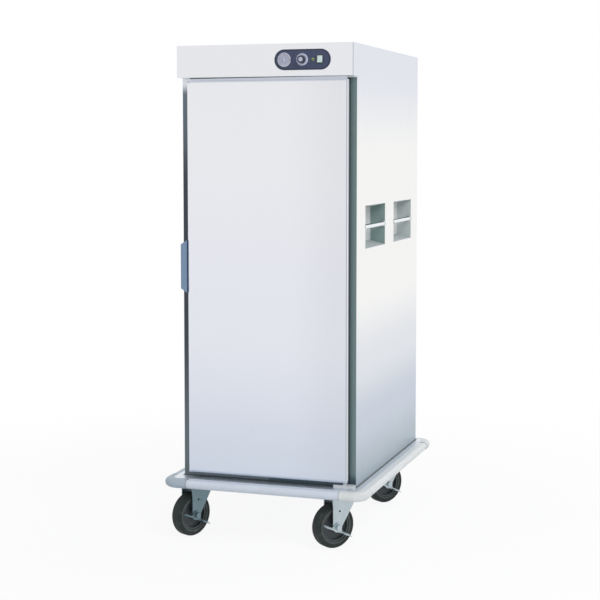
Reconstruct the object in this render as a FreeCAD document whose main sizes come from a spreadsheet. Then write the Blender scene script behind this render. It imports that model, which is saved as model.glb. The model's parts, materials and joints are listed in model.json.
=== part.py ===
import FreeCAD, Part
import math
import os

import Sketcher
from FreeCAD import Placement, Rotation, Vector

# A heated, insulated cabinet on four swivel casters: one overlay door hung on pivots at its right
# edge, a control header above it, recessed hand grips in both sides and a bumper round the base.
# The origin is on the floor under the middle of the bumper, +Z up, the door facing -Y.

# Driving sizes in millimetres, angles in degrees, counts as plain numbers.
SIZES = {
    # Cabinet shell
    "cabinet_width": 620,
    "cabinet_depth": 830,
    "panel_height": 1475,
    "header_height": 107,
    "outer_gauge": 1.2,
    "liner_gauge": 1,
    "frame_gauge": 4,
    "side_wall": 68,
    "back_wall": 50,
    "floor_wall": 50,
    "ceiling_wall": 42,
    "top_flange": 25,
    # Vents at the top of the back
    "vent_length": 60,
    "vent_height": 6,
    "vent_pitch": 16,
    "vent_rows": 4,
    "vent_offset": 170,
    # Base deck and its caster bearers
    "deck_height": 18,
    "deck_gauge": 3,
    "deck_corner": 23,
    "rim_lift": 3,
    "bearer_width": 124,
    # Bumper
    "side_reach": 55,
    "front_reach": 87,
    "back_reach": 55,
    "bumper_depth": 32,
    "bumper_height": 31,
    "bumper_step": 1,
    "bumper_corner": 92,
    # Casters
    "caster_inset": 49,
    "caster_front": 35,
    "caster_rear": 138,
    "front_left_angle": 244,
    "front_right_angle": 231,
    "rear_left_angle": 239,
    "rear_right_angle": 233,
    "plate_length": 110,
    "plate_width": 90,
    "plate_gauge": 4,
    "plate_corner": 10,
    "bolt_inset": 12,
    "bolt_radius": 4,
    "bolt_head": 7,
    "bolt_head_height": 5,
    "race_radius": 33,
    "race_taper": 4,
    "race_height": 8,
    "kingpin_radius": 6,
    "kingpin_head": 11,
    "kingpin_head_height": 5,
    "crown_rise": 6,
    "crown_gauge": 5,
    "crown_lead": 38,
    "leg_lead": 20,
    "leg_shoulder": 16,
    "leg_end": 18,
    "leg_hole": 3.5,
    "leg_hole_lead": 9,
    "leg_hole_lift": 53,
    "leg_gauge": 4,
    "leg_corner": 8,
    "fork_gap": 50,
    "trail": 50,
    "wheel_radius": 75,
    "tyre_clear": 16.6,
    "tyre_width": 38,
    "tyre_depth": 22,
    "tyre_crown": 9,
    "tyre_step": 2,
    "rim_depth": 7,
    "web_width": 12,
    "hub_radius": 18,
    "hub_gap": 1,
    "axle_radius": 6,
    "nut_radius": 10.5,
    "nut_height": 8,
    # Brake lever
    "lever_gauge": 3,
    "lever_boss": 15,
    "lever_reach": 56,
    "lever_drop": 15,
    "lever_bar": 6,
    "lever_neck": 24,
    "pedal_length": 34,
    "pedal_width": 15,
    "lever_tilt": 24,
    # Door
    "door_set_back": 20,
    "door_side_gap": 25,
    "door_top_gap": 11,
    "door_base_gap": 15,
    "door_thickness": 22,
    "door_edge": 11,
    "seal_space": 5,
    "plug_depth": 28,
    "plug_gap": 8,
    "gasket_width": 20,
    "gasket_inset": 10,
    "gasket_bead": 1.6,
    "pull_length": 179,
    "pull_reach": 25,
    "pull_gauge": 6,
    "pull_flange": 3,
    "pull_step": 7,
    "pull_round_share": 0.42,
    "pull_slope": 14,
    "pull_level": 728,
    # Hinge
    "pivot_inset": 10,
    "pivot_depth": 10,
    "pivot_radius": 4,
    "pivot_grip": 20,
    "bush_wall": 2,
    "bracket_gauge": 5,
    "bracket_length": 74,
    "bracket_top_length": 50,
    "bracket_corner": 6,
    "collar_radius": 7,
    "bracket_screw_share": 0.45,
    "bracket_screw_head": 3,
    # Hand grips
    "grip_height": 145,
    "grip_backing": 12,
    "grip_gauge": 1,
    "grip_draft": 14,
    "grip_front": 148,
    "grip_gap": 118,
    "grip_rear": 97,
    "grip_level": 866,
    "grip_bar": 8,
    # Tray racks
    "post_width": 20,
    "post_depth": 8,
    "post_count": 3,
    "runner_count": 11,
    "runner_start": 62,
    "runner_end": 170,
    "runner_ledge": 28,
    "runner_lip": 14,
    "runner_gauge": 2,
    "rack_margin": 34,
    # Circulation fan and heater
    "fan_inset": 330,
    "motor_radius": 42,
    "motor_height": 72,
    "motor_flange": 56,
    "motor_flange_gauge": 4,
    "motor_neck": 13,
    "shaft_radius": 5,
    "shaft_grip": 40,
    "fan_radius": 88,
    "fan_drop": 8,
    "fan_disc": 2,
    "fan_hub": 16,
    "fan_hub_height": 24,
    "blade_height": 34,
    "blade_gauge": 2,
    "blade_inner": 40,
    "blade_lean": 34,
    "blade_count": 10,
    "heater_radius": 122,
    "heater_tube": 4,
    "heater_gap_angle": 24,
    "heater_bend": 12,
    "heater_drop": 26,
    "heater_rise": 26,
    "baffle_margin": 27,
    "baffle_depth": 400,
    "baffle_drop": 66,
    "baffle_lip": 15,
    "intake_hole": 8,
    "intake_ring": 24,
    "intake_ring_count": 3,
    "intake_count": 6,
    # Control group
    "control_inset": 174,
    "control_length": 194,
    "control_height": 68,
    "control_gauge": 2,
    "control_edge": 0.8,
    "dial_offset": 62,
    "dial_radius": 23,
    "dial_bezel": 2,
    "dial_proud": 4,
    "dial_flange": 3,
    "dial_depth": 26,
    "dial_face_depth": 3.4,
    "lens_gauge": 1,
    "needle_length": 16,
    "needle_tail": 6,
    "needle_half_width": 0.9,
    "needle_tip": 0.25,
    "needle_gauge": 0.6,
    "needle_hub": 2.2,
    "needle_angle": 120,
    "spindle_radius": 0.8,
    "knob_skirt": 20,
    "knob_skirt_height": 3,
    "knob_grip": 13.5,
    "knob_height": 19,
    "knob_taper": 1.5,
    "knob_rib": 3,
    "knob_flute": 2,
    "knob_flute_count": 14,
    "knob_shaft": 3,
    "thermostat_width": 44,
    "thermostat_depth": 34,
    "thermostat_corner": 5,
    "lamp_offset": 37,
    "lamp_radius": 5.6,
    "lamp_collar": 1.2,
    "lamp_body": 4.4,
    "lamp_depth": 22,
    "switch_offset": 61,
    "switch_width": 24,
    "switch_height": 28,
    "switch_bezel": 2,
    "switch_proud": 2.4,
    "switch_wall": 1.4,
    "switch_end": 0.5,
    "switch_depth": 24,
    "rocker_sag": 1.6,
    "rocker_depth": 7,
    "rocker_tilt": 8,
    "rocker_pin": 1.5,
    "rocker_pin_reach": 0.9,
    # Power inlet
    "inlet_inset": 90,
    "inlet_width": 50,
    "inlet_height": 30,
    "inlet_gauge": 3,
    "inlet_body": 28,
    "inlet_wall": 4,
    "inlet_cup": 16,
    "inlet_depth": 22,
    "inlet_pin_radius": 1.6,
    "inlet_pin_pitch": 8,
    # Fits
    "running_fit": 0.05,
    "swivel_gap": 0.4,
    "seal_gap": 0.3,
    "assembly_gap": 0.5,
}

# Corners of a hexagon as shares of its radius, and the middle of a quarter bend as a share of its radius
HEX_SHARES = [(math.cos(math.radians(60 * k)), math.sin(math.radians(60 * k))) for k in range(6)]
BEND_SHARE = math.sqrt(0.5)
UP = Vector(0, 0, 1)


class Size:
    """A size on the sheet, or a sum of such sizes, with its expression and its present value."""

    def __init__(self, text, value):
        self.text = text
        self.value = value

    @staticmethod
    def of(number):
        return number if isinstance(number, Size) else Size(str(number), number)

    def __add__(self, other):
        other = Size.of(other)
        return Size(f"{self.text} + {other.text}", self.value + other.value)

    def __sub__(self, other):
        other = Size.of(other)
        return Size(f"{self.text} - ({other.text})", self.value - other.value)

    def __mul__(self, other):
        other = Size.of(other)
        return Size(f"({self.text}) * ({other.text})", self.value * other.value)

    def __truediv__(self, other):
        other = Size.of(other)
        return Size(f"({self.text}) / ({other.text})", self.value / other.value)

    def __neg__(self):
        return Size(f"-({self.text})", -self.value)

    __radd__ = __add__
    __rmul__ = __mul__

    def __rsub__(self, other):
        return Size.of(other) - self


def cosine(angle):
    return Size(f"cos(({angle.text}) * 1 deg)", math.cos(math.radians(angle.value)))


def sine(angle):
    return Size(f"sin(({angle.text}) * 1 deg)", math.sin(math.radians(angle.value)))


class Sheet:
    """The spreadsheet of driving sizes and of the levels worked out from them."""

    def __init__(self, sizes):
        self._sheet = doc.addObject("Spreadsheet::Sheet", "dims")
        self._row = 0
        self._known = {}
        for name, value in sizes.items():
            self._write(name, str(value), value)
        doc.recompute()

    def _write(self, name, text, value):
        self._row += 1
        self._sheet.set(f"A{self._row}", name)
        self._sheet.set(f"B{self._row}", text)
        self._sheet.setAlias(f"B{self._row}", name)
        self._known[name] = Size(f"dims.{name}", value)

    def __getattr__(self, name):
        return self._known[name]

    def keep(self, **levels):
        """Write worked-out levels below the driving sizes."""
        for name, size in levels.items():
            self._write(name, "=" + size.text.replace("dims.", ""), size.value)
        doc.recompute()


def bind(thing, path, size):
    """Tie one property of an object to the sheet."""
    thing.setExpression(path, Size.of(size).text)


def fix(sketch, size, kind, *where):
    """Add a dimension to a sketch, tied to the sheet."""
    rule = Sketcher.Constraint(kind, *where, float(size.value))
    bind(sketch, f"Constraints[{sketch.addConstraint(rule)}]", size)


def fix_point(sketch, run, end, corner):
    """Dimension one point of a run from the sketch's origin."""
    for kind, size in zip(("DistanceX", "DistanceY"), corner):
        fix(sketch, size, kind, -1, 1, run, end)


class Outline:
    """A line of corners, closed unless it is a path; a bend turns the run after its corner into an arc.

    bends maps a corner's index to (radius, side): side 1 has the arc's centre on the left of the
    run, side -1 on its right.
    """

    def __init__(self, corners, bends=None, closed=True):
        self.corners = [(Size.of(x), Size.of(y)) for x, y in corners]
        self.bends = bends or {}
        self.closed = closed

    @staticmethod
    def rect(x0, x1, y0, y1):
        return Outline([(x0, y0), (x1, y0), (x1, y1), (x0, y1)])

    @staticmethod
    def rounded(x0, x1, y0, y1, radius):
        corners = [
            (x0 + radius, y0), (x1 - radius, y0), (x1, y0 + radius), (x1, y1 - radius),
            (x1 - radius, y1), (x0 + radius, y1), (x0, y1 - radius), (x0, y0 + radius),
        ]
        return Outline(corners, {k: (radius, 1) for k in (1, 3, 5, 7)})

    @staticmethod
    def about(x, y, half_width, half_height, corner=None):
        """A rectangle about its middle, its corners rounded if a radius is given."""
        sides = (x - half_width, x + half_width, y - half_height, y + half_height)
        return Outline.rounded(*sides, corner) if corner else Outline.rect(*sides)

    @staticmethod
    def stadium(x, y, length, height):
        """A level bar with two half-round ends."""
        r = height / 2
        a = length / 2 - r
        corners = [
            (x - a, y - r), (x + a, y - r), (x + a + r, y), (x + a, y + r), (x - a, y + r), (x - a - r, y),
        ]
        return Outline(corners, {k: (r, 1) for k in (1, 2, 4, 5)})

    @staticmethod
    def _arc(start, end, radius, side):
        half = (end - start).Length / 2
        lift = math.sqrt(max(radius * radius - half * half, 0))
        along = (end - start).normalize()
        centre = (start + end) / 2 + Vector(-along.y, along.x, 0) * (lift * side)
        first, last = (start, end) if side > 0 else (end, start)
        angles = [math.atan2(p.y - centre.y, p.x - centre.x) for p in (first, last)]
        return Part.ArcOfCircle(Part.Circle(centre, UP, radius), *angles)

    def draw(self, sketch):
        points = [Vector(x.value, y.value, 0) for x, y in self.corners]
        ends = points[1:] + points[:1] if self.closed else points[1:]
        runs = []
        for k, (start, end) in enumerate(zip(points, ends)):
            if k in self.bends:
                radius, side = self.bends[k]
                run = sketch.addGeometry(self._arc(start, end, radius.value, side))
                runs.append((run, 1, 2) if side > 0 else (run, 2, 1))
            else:
                runs.append((sketch.addGeometry(Part.LineSegment(start, end)), 1, 2))
        following = runs[1:] + runs[:1] if self.closed else runs[1:]
        for (run, _, last), (after, first, _) in zip(runs, following):
            sketch.addConstraint(Sketcher.Constraint("Coincident", run, last, after, first))
        marks = [(run, first) for run, first, _ in runs] + [(run, last) for run, _, last in runs[-1:]]
        for (run, end), corner in zip(marks, self.corners):
            fix_point(sketch, run, end, corner)
        for k, (radius, _) in self.bends.items():
            fix(sketch, radius, "Radius", runs[k][0])


class Ring:
    """A circle in a sketch."""

    def __init__(self, x, y, radius):
        self.centre = (Size.of(x), Size.of(y))
        self.radius = Size.of(radius)

    def draw(self, sketch):
        middle = Vector(self.centre[0].value, self.centre[1].value, 0)
        run = sketch.addGeometry(Part.Circle(middle, UP, self.radius.value))
        fix_point(sketch, run, 3, self.centre)
        fix(sketch, self.radius, "Radius", run)


def hexagon(x, y, radius):
    return Outline([(x + radius * c, y + radius * s) for c, s in HEX_SHARES])


class Piece:
    """One body, built up feature by feature.

    Sketches lie on XY, XZ or YZ; a span is the pair of stations between which a feature runs
    along the third axis, the lower one first.
    """

    def __init__(self, name):
        self.body = doc.addObject("PartDesign::Body", name)
        self.body.Label = name
        self.planes = {f.Role: f for f in self.body.Origin.OriginFeatures}

    def _sketch(self, plane, station, outlines, shift=0):
        sketch = self.body.newObject("Sketcher::SketchObject", "outline")
        sketch.AttachmentSupport = [(self.planes[f"{plane}_Plane"], "")]
        sketch.MapMode = "FlatFace"
        station = Size.of(station)
        bind(sketch, "AttachmentOffset.Base.z", -station if plane == "XZ" else station)
        bind(sketch, "AttachmentOffset.Base.x", shift)
        for outline in outlines:
            outline.draw(sketch)
        return sketch

    def _volume(self):
        doc.recompute()
        return self.body.Shape.Volume if self.body.Tip else 0

    def _feature(self, kind, profile):
        feature = self.body.newObject(f"PartDesign::{kind}", kind.lower())
        feature.Profile = profile
        return feature

    def _checked(self, before, feature, grows):
        after = self._volume()
        if (after - before if grows else before - after) <= 0:
            raise ValueError(f"{self.body.Label}: {feature.Name} changes nothing")
        return self

    def add(self, plane, span, *outlines):
        """Material between two stations."""
        before = self._volume()
        low, high = span
        pad = self._feature("Pad", self._sketch(plane, high if plane == "XZ" else low, outlines))
        bind(pad, "Length", high - low)
        return self._checked(before, pad, True)

    def cut(self, plane, span, *outlines):
        """A recess or a through cut between two stations."""
        before = self._volume()
        low, high = span
        pocket = self._feature("Pocket", self._sketch(plane, low if plane == "XZ" else high, outlines))
        bind(pocket, "Length", high - low)
        return self._checked(before, pocket, False)

    def turn(self, outline, axis, at):
        """A turned form: outline points are (radius, station along the axis), at is the axis's place."""
        before = self._volume()
        sketch = self._sketch("XZ" if axis == "Z" else "XY", at[1], [outline], at[0])
        turned = self._feature("Revolution", sketch)
        turned.ReferenceAxis = (sketch, ["V_Axis"])
        return self._checked(before, turned, True)

    def sweep(self, plane, station, outline, path_plane, path_station, path):
        """The outline carried along an open path that starts square to it."""
        before = self._volume()
        pipe = self._feature("AdditivePipe", self._sketch(plane, station, [outline]))
        pipe.Spine = (self._sketch(path_plane, path_station, [path]), [])
        return self._checked(before, pipe, True)

    def around(self, axis_role, count, grows=True):
        """Repeat the last feature, an added one or a cut, evenly about one of the body's own axes."""
        before = self._volume()
        last = self.body.Tip
        pattern = self.body.newObject("PartDesign::PolarPattern", "pattern")
        pattern.Originals = [last]
        pattern.Axis = (self.planes[axis_role], [""])
        bind(pattern, "Occurrences", count)
        self.body.Tip = pattern
        return self._checked(before, pattern, grows)

    def rounded(self, radius, wanted):
        """Round every edge that the test accepts."""
        self._volume()
        tip = self.body.Tip
        names = [f"Edge{k}" for k, edge in enumerate(tip.Shape.Edges, 1) if wanted(edge)]
        fillet = self.body.newObject("PartDesign::Fillet", "fillet")
        fillet.Base = (tip, names)
        bind(fillet, "Radius", radius)
        doc.recompute()
        return self

    def shelled(self, wall, wanted):
        """Hollow the form to a wall, open at the faces that the test accepts."""
        before = self._volume()
        tip = self.body.Tip
        names = [f"Face{k}" for k, face in enumerate(tip.Shape.Faces, 1) if wanted(face)]
        shell = self.body.newObject("PartDesign::Thickness", "shell")
        shell.Base = (tip, names)
        shell.Reversed = True
        bind(shell, "Value", wall)
        return self._checked(before, shell, False)

    def place(self, x, y, z, rotation):
        """Set the finished body at a place and a rotation."""
        sizes = [Size.of(v) for v in (x, y, z)]
        self.body.Placement = Placement(Vector(*(s.value for s in sizes)), rotation)
        for axis, size in zip("xyz", sizes):
            bind(self.body, f"Placement.Base.{axis}", size)
        return self


def box(name, xs, ys, zs):
    """A plain slab between two limits on each axis."""
    slab = doc.addObject("Part::Box", name)
    for side, axis, (low, high) in zip(("Length", "Width", "Height"), "xyz", (xs, ys, zs)):
        low = Size.of(low)
        bind(slab, side, high - low)
        bind(slab, f"Placement.Base.{axis}", low)
    return slab


def level_rod(name, radius, near, far, x, z):
    """A round bar along Y between two stations."""
    bar = doc.addObject("Part::Cylinder", name)
    bar.Placement = Placement(Vector(), Rotation(Vector(1, 0, 0), -90))
    bind(bar, "Radius", radius)
    bind(bar, "Height", far - near)
    for axis, size in zip("xyz", (x, near, z)):
        bind(bar, f"Placement.Base.{axis}", size)
    return bar


def group(name, things):
    """Separate solids of one kind under one name."""
    held = doc.addObject("Part::Compound", name)
    held.Label = name
    held.Links = [t.body if isinstance(t, Piece) else t for t in things]
    return held


def at_station(axis, size):
    """A test for edges or faces that lie whole at one station."""
    def wanted(thing):
        return all(abs(getattr(v.Point, axis) - size.value) < 1e-4 for v in thing.Vertexes)
    return wanted


doc = FreeCAD.newDocument("food_warmer_cart")
d = Sheet(SIZES)

# Levels and stations that several pieces share
d.keep(
    crown_top=d.wheel_radius * 2 + d.tyre_clear + d.crown_gauge,
    rim_radius=d.wheel_radius - d.tyre_depth,
    rim_width=d.tyre_width - d.tyre_step * 2,
    hub_width=d.fork_gap - d.hub_gap * 2,
    header_reach=d.door_set_back + d.door_thickness + d.seal_space,
    grip_depth=d.side_wall - d.liner_gauge - d.grip_backing - d.grip_gauge,
    dial_body=d.dial_radius - d.dial_flange,
)
d.keep(caster_height=d.crown_top + d.crown_rise + d.swivel_gap + d.race_height + d.plate_gauge)
d.keep(deck_top=d.caster_height + d.deck_height)
d.keep(
    cabinet_top=d.deck_top + d.panel_height,
    cabinet_side=d.cabinet_width / 2,
    base_half_width=d.cabinet_width / 2 + d.side_reach,
    base_half_depth=(d.front_reach + d.cabinet_depth + d.back_reach) / 2,
    bumper_base=d.deck_top - d.bumper_height,
)
d.keep(
    header_base=d.cabinet_top - d.header_height,
    frame_front=d.front_reach - d.base_half_depth,
    deck_half_width=d.base_half_width - d.bumper_depth,
    deck_half_depth=d.base_half_depth - d.bumper_depth,
)
d.keep(
    cabinet_back=d.frame_front + d.cabinet_depth,
    header_front=d.frame_front - d.header_reach,
    frame_back=d.frame_front + d.frame_gauge,
    opening_side=d.cabinet_side - d.side_wall,
    opening_base=d.deck_top + d.floor_wall,
    opening_top=d.header_base - d.ceiling_wall,
    panel_inside=d.cabinet_side - d.outer_gauge,
    pivot_x=d.cabinet_side - d.door_side_gap - d.pivot_inset,
)
d.keep(
    cavity_back=d.cabinet_back - d.back_wall,
    back_inside=d.cabinet_back - d.outer_gauge,
    liner_side=d.opening_side + d.liner_gauge,
    door_front=d.header_front + d.door_set_back,
    door_side=d.cabinet_side - d.door_side_gap,
    door_base=d.deck_top + d.door_base_gap,
    door_top=d.header_base - d.door_top_gap,
    header_floor=d.header_base + d.outer_gauge,
    control_x=d.cabinet_side - d.control_inset,
    control_z=d.cabinet_top - d.header_height / 2,
    caster_x=d.cabinet_side - d.caster_inset,
    inlet_x=d.inlet_inset - d.cabinet_side,
    control_front=d.header_front - d.control_gauge,
)
d.keep(
    liner_back=d.cavity_back + d.liner_gauge,
    fan_y=d.cavity_back - d.fan_inset,
    door_back=d.door_front + d.door_thickness,
    pivot_y=d.door_front + d.pivot_depth,
    plug_side=d.opening_side - d.plug_gap,
    plug_base=d.opening_base + d.plug_gap,
    plug_top=d.opening_top - d.plug_gap,
    caster_front_y=d.frame_front + d.caster_front,
    caster_rear_y=d.cabinet_back - d.caster_rear,
    grip_mid=d.deck_top + d.grip_level,
)
d.keep(plug_back=d.door_back + d.plug_depth, leg_outside=d.fork_gap / 2 + d.leg_gauge)

CASTERS = {
    f"{end}_{side}": (x, y, angle)
    for end, side, x, y, angle in (
        ("front", "left", -d.caster_x, d.caster_front_y, d.front_left_angle),
        ("front", "right", d.caster_x, d.caster_front_y, d.front_right_angle),
        ("rear", "left", -d.caster_x, d.caster_rear_y, d.rear_left_angle),
        ("rear", "right", d.caster_x, d.caster_rear_y, d.rear_right_angle),
    )
}
parts = {}


def keep(name, thing):
    parts[name] = thing.body if isinstance(thing, Piece) else thing


def bolt_places(x, y):
    across, along = d.plate_length / 2 - d.bolt_inset, d.plate_width / 2 - d.bolt_inset
    return [(x + across * i, y + along * j) for i in (-1, 1) for j in (-1, 1)]


# Base deck


def base_frame():
    """A folded deck with a turned-down rim and two channel bearers that take the casters."""
    under = d.deck_top - d.deck_gauge
    wide, deep, corner = d.deck_half_width, d.deck_half_depth, d.deck_corner
    inner_wide, inner_deep = wide - d.deck_gauge, deep - d.deck_gauge
    frame = Piece("base_frame")
    frame.add("XY", (under, d.deck_top), Outline.about(0, 0, wide, deep, corner))
    frame.add(
        "XY", (d.bumper_base + d.rim_lift, under),
        Outline.about(0, 0, wide, deep, corner),
        Outline.about(0, 0, inner_wide, inner_deep, corner - d.deck_gauge),
    )
    for y in (d.caster_front_y, d.caster_rear_y):
        near, far, gauge = y - d.bearer_width / 2, y + d.bearer_width / 2, d.deck_gauge
        channel = Outline([
            (near, d.caster_height), (far, d.caster_height), (far, under), (far - gauge, under),
            (far - gauge, d.caster_height + gauge), (near + gauge, d.caster_height + gauge),
            (near + gauge, under), (near, under),
        ])
        frame.add("YZ", (-inner_wide, inner_wide), channel)
    holes = [
        Ring(x, y, d.bolt_radius + d.assembly_gap)
        for cx, cy, _ in CASTERS.values() for x, y in bolt_places(cx, cy)
    ]
    frame.cut("XY", (d.caster_height, d.caster_height + d.deck_gauge), *holes)
    keep("base_frame", frame)


def bumper_profile(inset, distance):
    """The bumper's half-round section on the -Y side, its flat back at the deck's edge."""
    low, high = d.bumper_base + inset, d.deck_top - inset
    radius = d.bumper_height / 2 - inset
    flat = distance + d.bumper_depth - inset - radius
    corners = [
        (-distance, low), (-distance, high), (-flat, high), (-flat - radius, high - radius), (-flat, low),
    ]
    return Outline(corners, {2: (radius, 1), 3: (radius, 1)})


def bumpers():
    """Four straight rails and four swept corner mouldings, each turned to its side of the deck."""
    wide, deep = d.deck_half_width, d.deck_half_depth
    rails, corners = [], []
    for turn, across, reach in ((0, wide, deep), (90, deep, wide), (180, wide, deep), (270, deep, wide)):
        spin = Rotation(UP, turn)
        joint = across + d.bumper_depth - d.bumper_corner
        far_joint = reach + d.bumper_depth - d.bumper_corner
        rail = Piece(f"bumper_rail_{turn}")
        rail.add("YZ", (-joint, joint), bumper_profile(d.bumper_step, reach))
        rails.append(rail.place(0, 0, 0, spin))
        bend = d.deck_corner
        path = Outline(
            [(joint, -reach), (across - bend, -reach), (across, bend - reach), (across, -far_joint)],
            {1: (bend, 1)}, closed=False,
        )
        corner = Piece(f"bumper_corner_{turn}")
        corner.sweep("YZ", joint, bumper_profile(0, reach), "XY", d.bumper_base, path)
        corners.append(corner.place(0, 0, 0, spin))
    keep("bumper_rails", group("bumper_rails", rails))
    keep("bumper_corners", group("bumper_corners", corners))


# Casters


def caster_plates():
    """Swivel plates with the upper race and a riveted kingpin, and the bolts that hold them."""
    plates, bolts = [], []
    base = d.caster_height - d.plate_gauge
    race = base - d.race_height
    head = d.crown_top - d.crown_gauge - d.swivel_gap
    half_length, half_width = d.plate_length / 2, d.plate_width / 2
    for name, (x, y, _) in CASTERS.items():
        plate = Piece(f"caster_plate_{name}")
        plate.add("XY", (base, d.caster_height), Outline.about(x, y, half_length, half_width, d.plate_corner))
        plate.cut("XY", (base, d.caster_height),
                  *[Ring(u, v, d.bolt_radius + d.assembly_gap) for u, v in bolt_places(x, y)])
        plate.turn(Outline([
            (0, base), (d.race_radius, base), (d.race_radius - d.race_taper, race), (d.kingpin_radius, race),
            (d.kingpin_radius, head), (d.kingpin_head, head), (d.kingpin_head, head - d.kingpin_head_height),
            (0, head - d.kingpin_head_height),
        ]), "Z", (x, y))
        plates.append(plate)
        for k, (u, v) in enumerate(bolt_places(x, y)):
            bolt = Piece(f"caster_bolt_{name}_{k}")
            bolt.add("XY", (base - d.bolt_head_height, base), hexagon(u, v, d.bolt_head))
            bolt.add("XY", (base, d.caster_height + d.deck_gauge), Ring(u, v, d.bolt_radius))
            bolts.append(bolt)
    keep("caster_plates", group("caster_plates", plates))
    keep("caster_bolts", group("caster_bolts", bolts))


def fork(name):
    """A pressed fork: a crown with the lower race and two legs that lean back to the axle."""
    half, outside = d.fork_gap / 2, d.leg_outside
    top, low = d.crown_top, d.crown_top - d.crown_gauge
    end, axle = d.leg_end, d.wheel_radius
    leg = Outline(
        [
            (d.trail + end, axle), (d.trail + end, low), (d.trail + end - d.leg_corner, top),
            (-d.leg_lead + d.leg_corner, top), (-d.leg_lead, low),
            (-d.leg_lead, top - d.leg_shoulder), (d.trail - end, axle), (d.trail, axle - end),
        ],
        {6: (end, 1), 7: (end, 1)},
    )
    piece = Piece(f"fork_{name}")
    piece.add("XY", (low, top), Outline.rect(-d.crown_lead, d.trail + end - d.leg_corner, -half, half))
    for span in ((-outside, -half), (half, outside)):
        piece.add("XZ", span, leg)
    race = d.race_radius
    piece.turn(Outline([
        (0, top), (race, top), (race - d.race_taper, top + d.crown_rise), (0, top + d.crown_rise),
    ]), "Z", (0, 0))
    piece.cut("XY", (low, top + d.crown_rise), Ring(0, 0, d.kingpin_radius + d.running_fit))
    hole = Ring(d.trail - d.leg_hole_lead, axle + d.leg_hole_lift, d.leg_hole)
    piece.cut("XZ", (-outside, outside), hole, Ring(d.trail, axle, d.axle_radius + d.running_fit))
    return piece


def axle(name):
    """A bolt through the fork, with a hexagon at each end clear of the brake lever."""
    lever_side = d.leg_outside + d.assembly_gap * 2 + d.lever_gauge
    first, last = -d.leg_outside - d.nut_height, lever_side + d.nut_height
    nut = hexagon(d.trail, d.wheel_radius, d.nut_radius)
    piece = Piece(f"axle_{name}")
    piece.add("XZ", (first, last), Ring(d.trail, d.wheel_radius, d.axle_radius))
    piece.add("XZ", (first, -d.leg_outside), nut)
    piece.add("XZ", (lever_side, last), nut)
    return piece


def wheel_core(name):
    """A turned hub, web and rim."""
    hub, web, rim = d.hub_width / 2, d.web_width / 2, d.rim_width / 2
    bore, inner = d.axle_radius + d.running_fit, d.rim_radius - d.rim_depth
    piece = Piece(f"wheel_core_{name}")
    return piece.turn(Outline([
        (bore, -hub), (d.hub_radius, -hub), (d.hub_radius, -web), (inner, -web),
        (inner, -rim), (d.rim_radius, -rim), (d.rim_radius, rim), (inner, rim),
        (inner, web), (d.hub_radius, web), (d.hub_radius, hub), (bore, hub),
    ]), "Y", (d.trail, d.wheel_radius))


def tyre(name):
    """A solid tyre with a flat tread between rounded shoulders."""
    half, crown, outer = d.tyre_width / 2, d.tyre_crown, d.wheel_radius
    piece = Piece(f"tyre_{name}")
    return piece.turn(Outline(
        [
            (d.rim_radius, -d.rim_width / 2), (d.rim_radius + crown / 2, -half), (outer - crown, -half),
            (outer, crown - half), (outer, half - crown), (outer - crown, half),
            (d.rim_radius + crown / 2, half), (d.rim_radius, d.rim_width / 2),
        ],
        {2: (crown, 1), 4: (crown, 1)},
    ), "Y", (d.trail, d.wheel_radius))


def brake_lever(name):
    """A stamped lever about the axle, with a pedal bent out at each end."""
    inside = d.leg_outside + d.assembly_gap
    outside = inside + d.lever_gauge
    reach, drop, boss = d.lever_reach, d.lever_drop, d.lever_boss
    top = d.lever_bar - drop
    plate = Outline(
        [
            (-reach, -drop), (reach, -drop), (reach, top), (d.lever_neck, top),
            (boss, 0), (0, boss), (-boss, 0), (-d.lever_neck, top), (-reach, top),
        ],
        {4: (boss, 1), 5: (boss, 1)},
    )
    piece = Piece(f"brake_lever_{name}")
    piece.add("XZ", (inside, outside), plate)
    piece.cut("XZ", (inside, outside), Ring(0, 0, d.axle_radius + d.running_fit))
    for low, high in ((-reach, d.pedal_length - reach), (reach - d.pedal_length, reach)):
        pedal = Outline.rect(low, high, outside, outside + d.pedal_width)
        piece.add("XY", (-drop, d.lever_gauge - drop), pedal)
    return piece


def casters():
    for name, (x, y, angle) in CASTERS.items():
        spin = Rotation(UP, angle.value)
        for make in (fork, axle, wheel_core, tyre):
            keep(f"{make.__name__}_{name}", make(name).place(x, y, 0, spin))
        tilt = spin * Rotation(Vector(0, 1, 0), -d.lever_tilt.value)
        lever = brake_lever(name)
        lever.place(x + d.trail * cosine(angle), y + d.trail * sine(angle), d.wheel_radius, tilt)
        keep(f"brake_lever_{name}", lever)


# Cabinet


def grip_spans():
    """Near and far ends of the two hand grips along a side."""
    first, last = d.header_front + d.grip_front, d.cabinet_back - d.grip_rear
    length = (last - first - d.grip_gap) / 2
    return [(first, first + length), (last - length, last)]


def grip_dish(side, spread):
    """A hand grip's section across the cabinet, narrowing inwards, let out all round by the spread."""
    low, high = d.grip_mid - d.grip_height / 2 - spread, d.grip_mid + d.grip_height / 2 + spread
    face, floor = d.panel_inside * side, (d.cabinet_side - d.grip_depth - spread) * side
    return Outline([(face, low), (face, high), (floor, high - d.grip_draft), (floor, low + d.grip_draft)])


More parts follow.
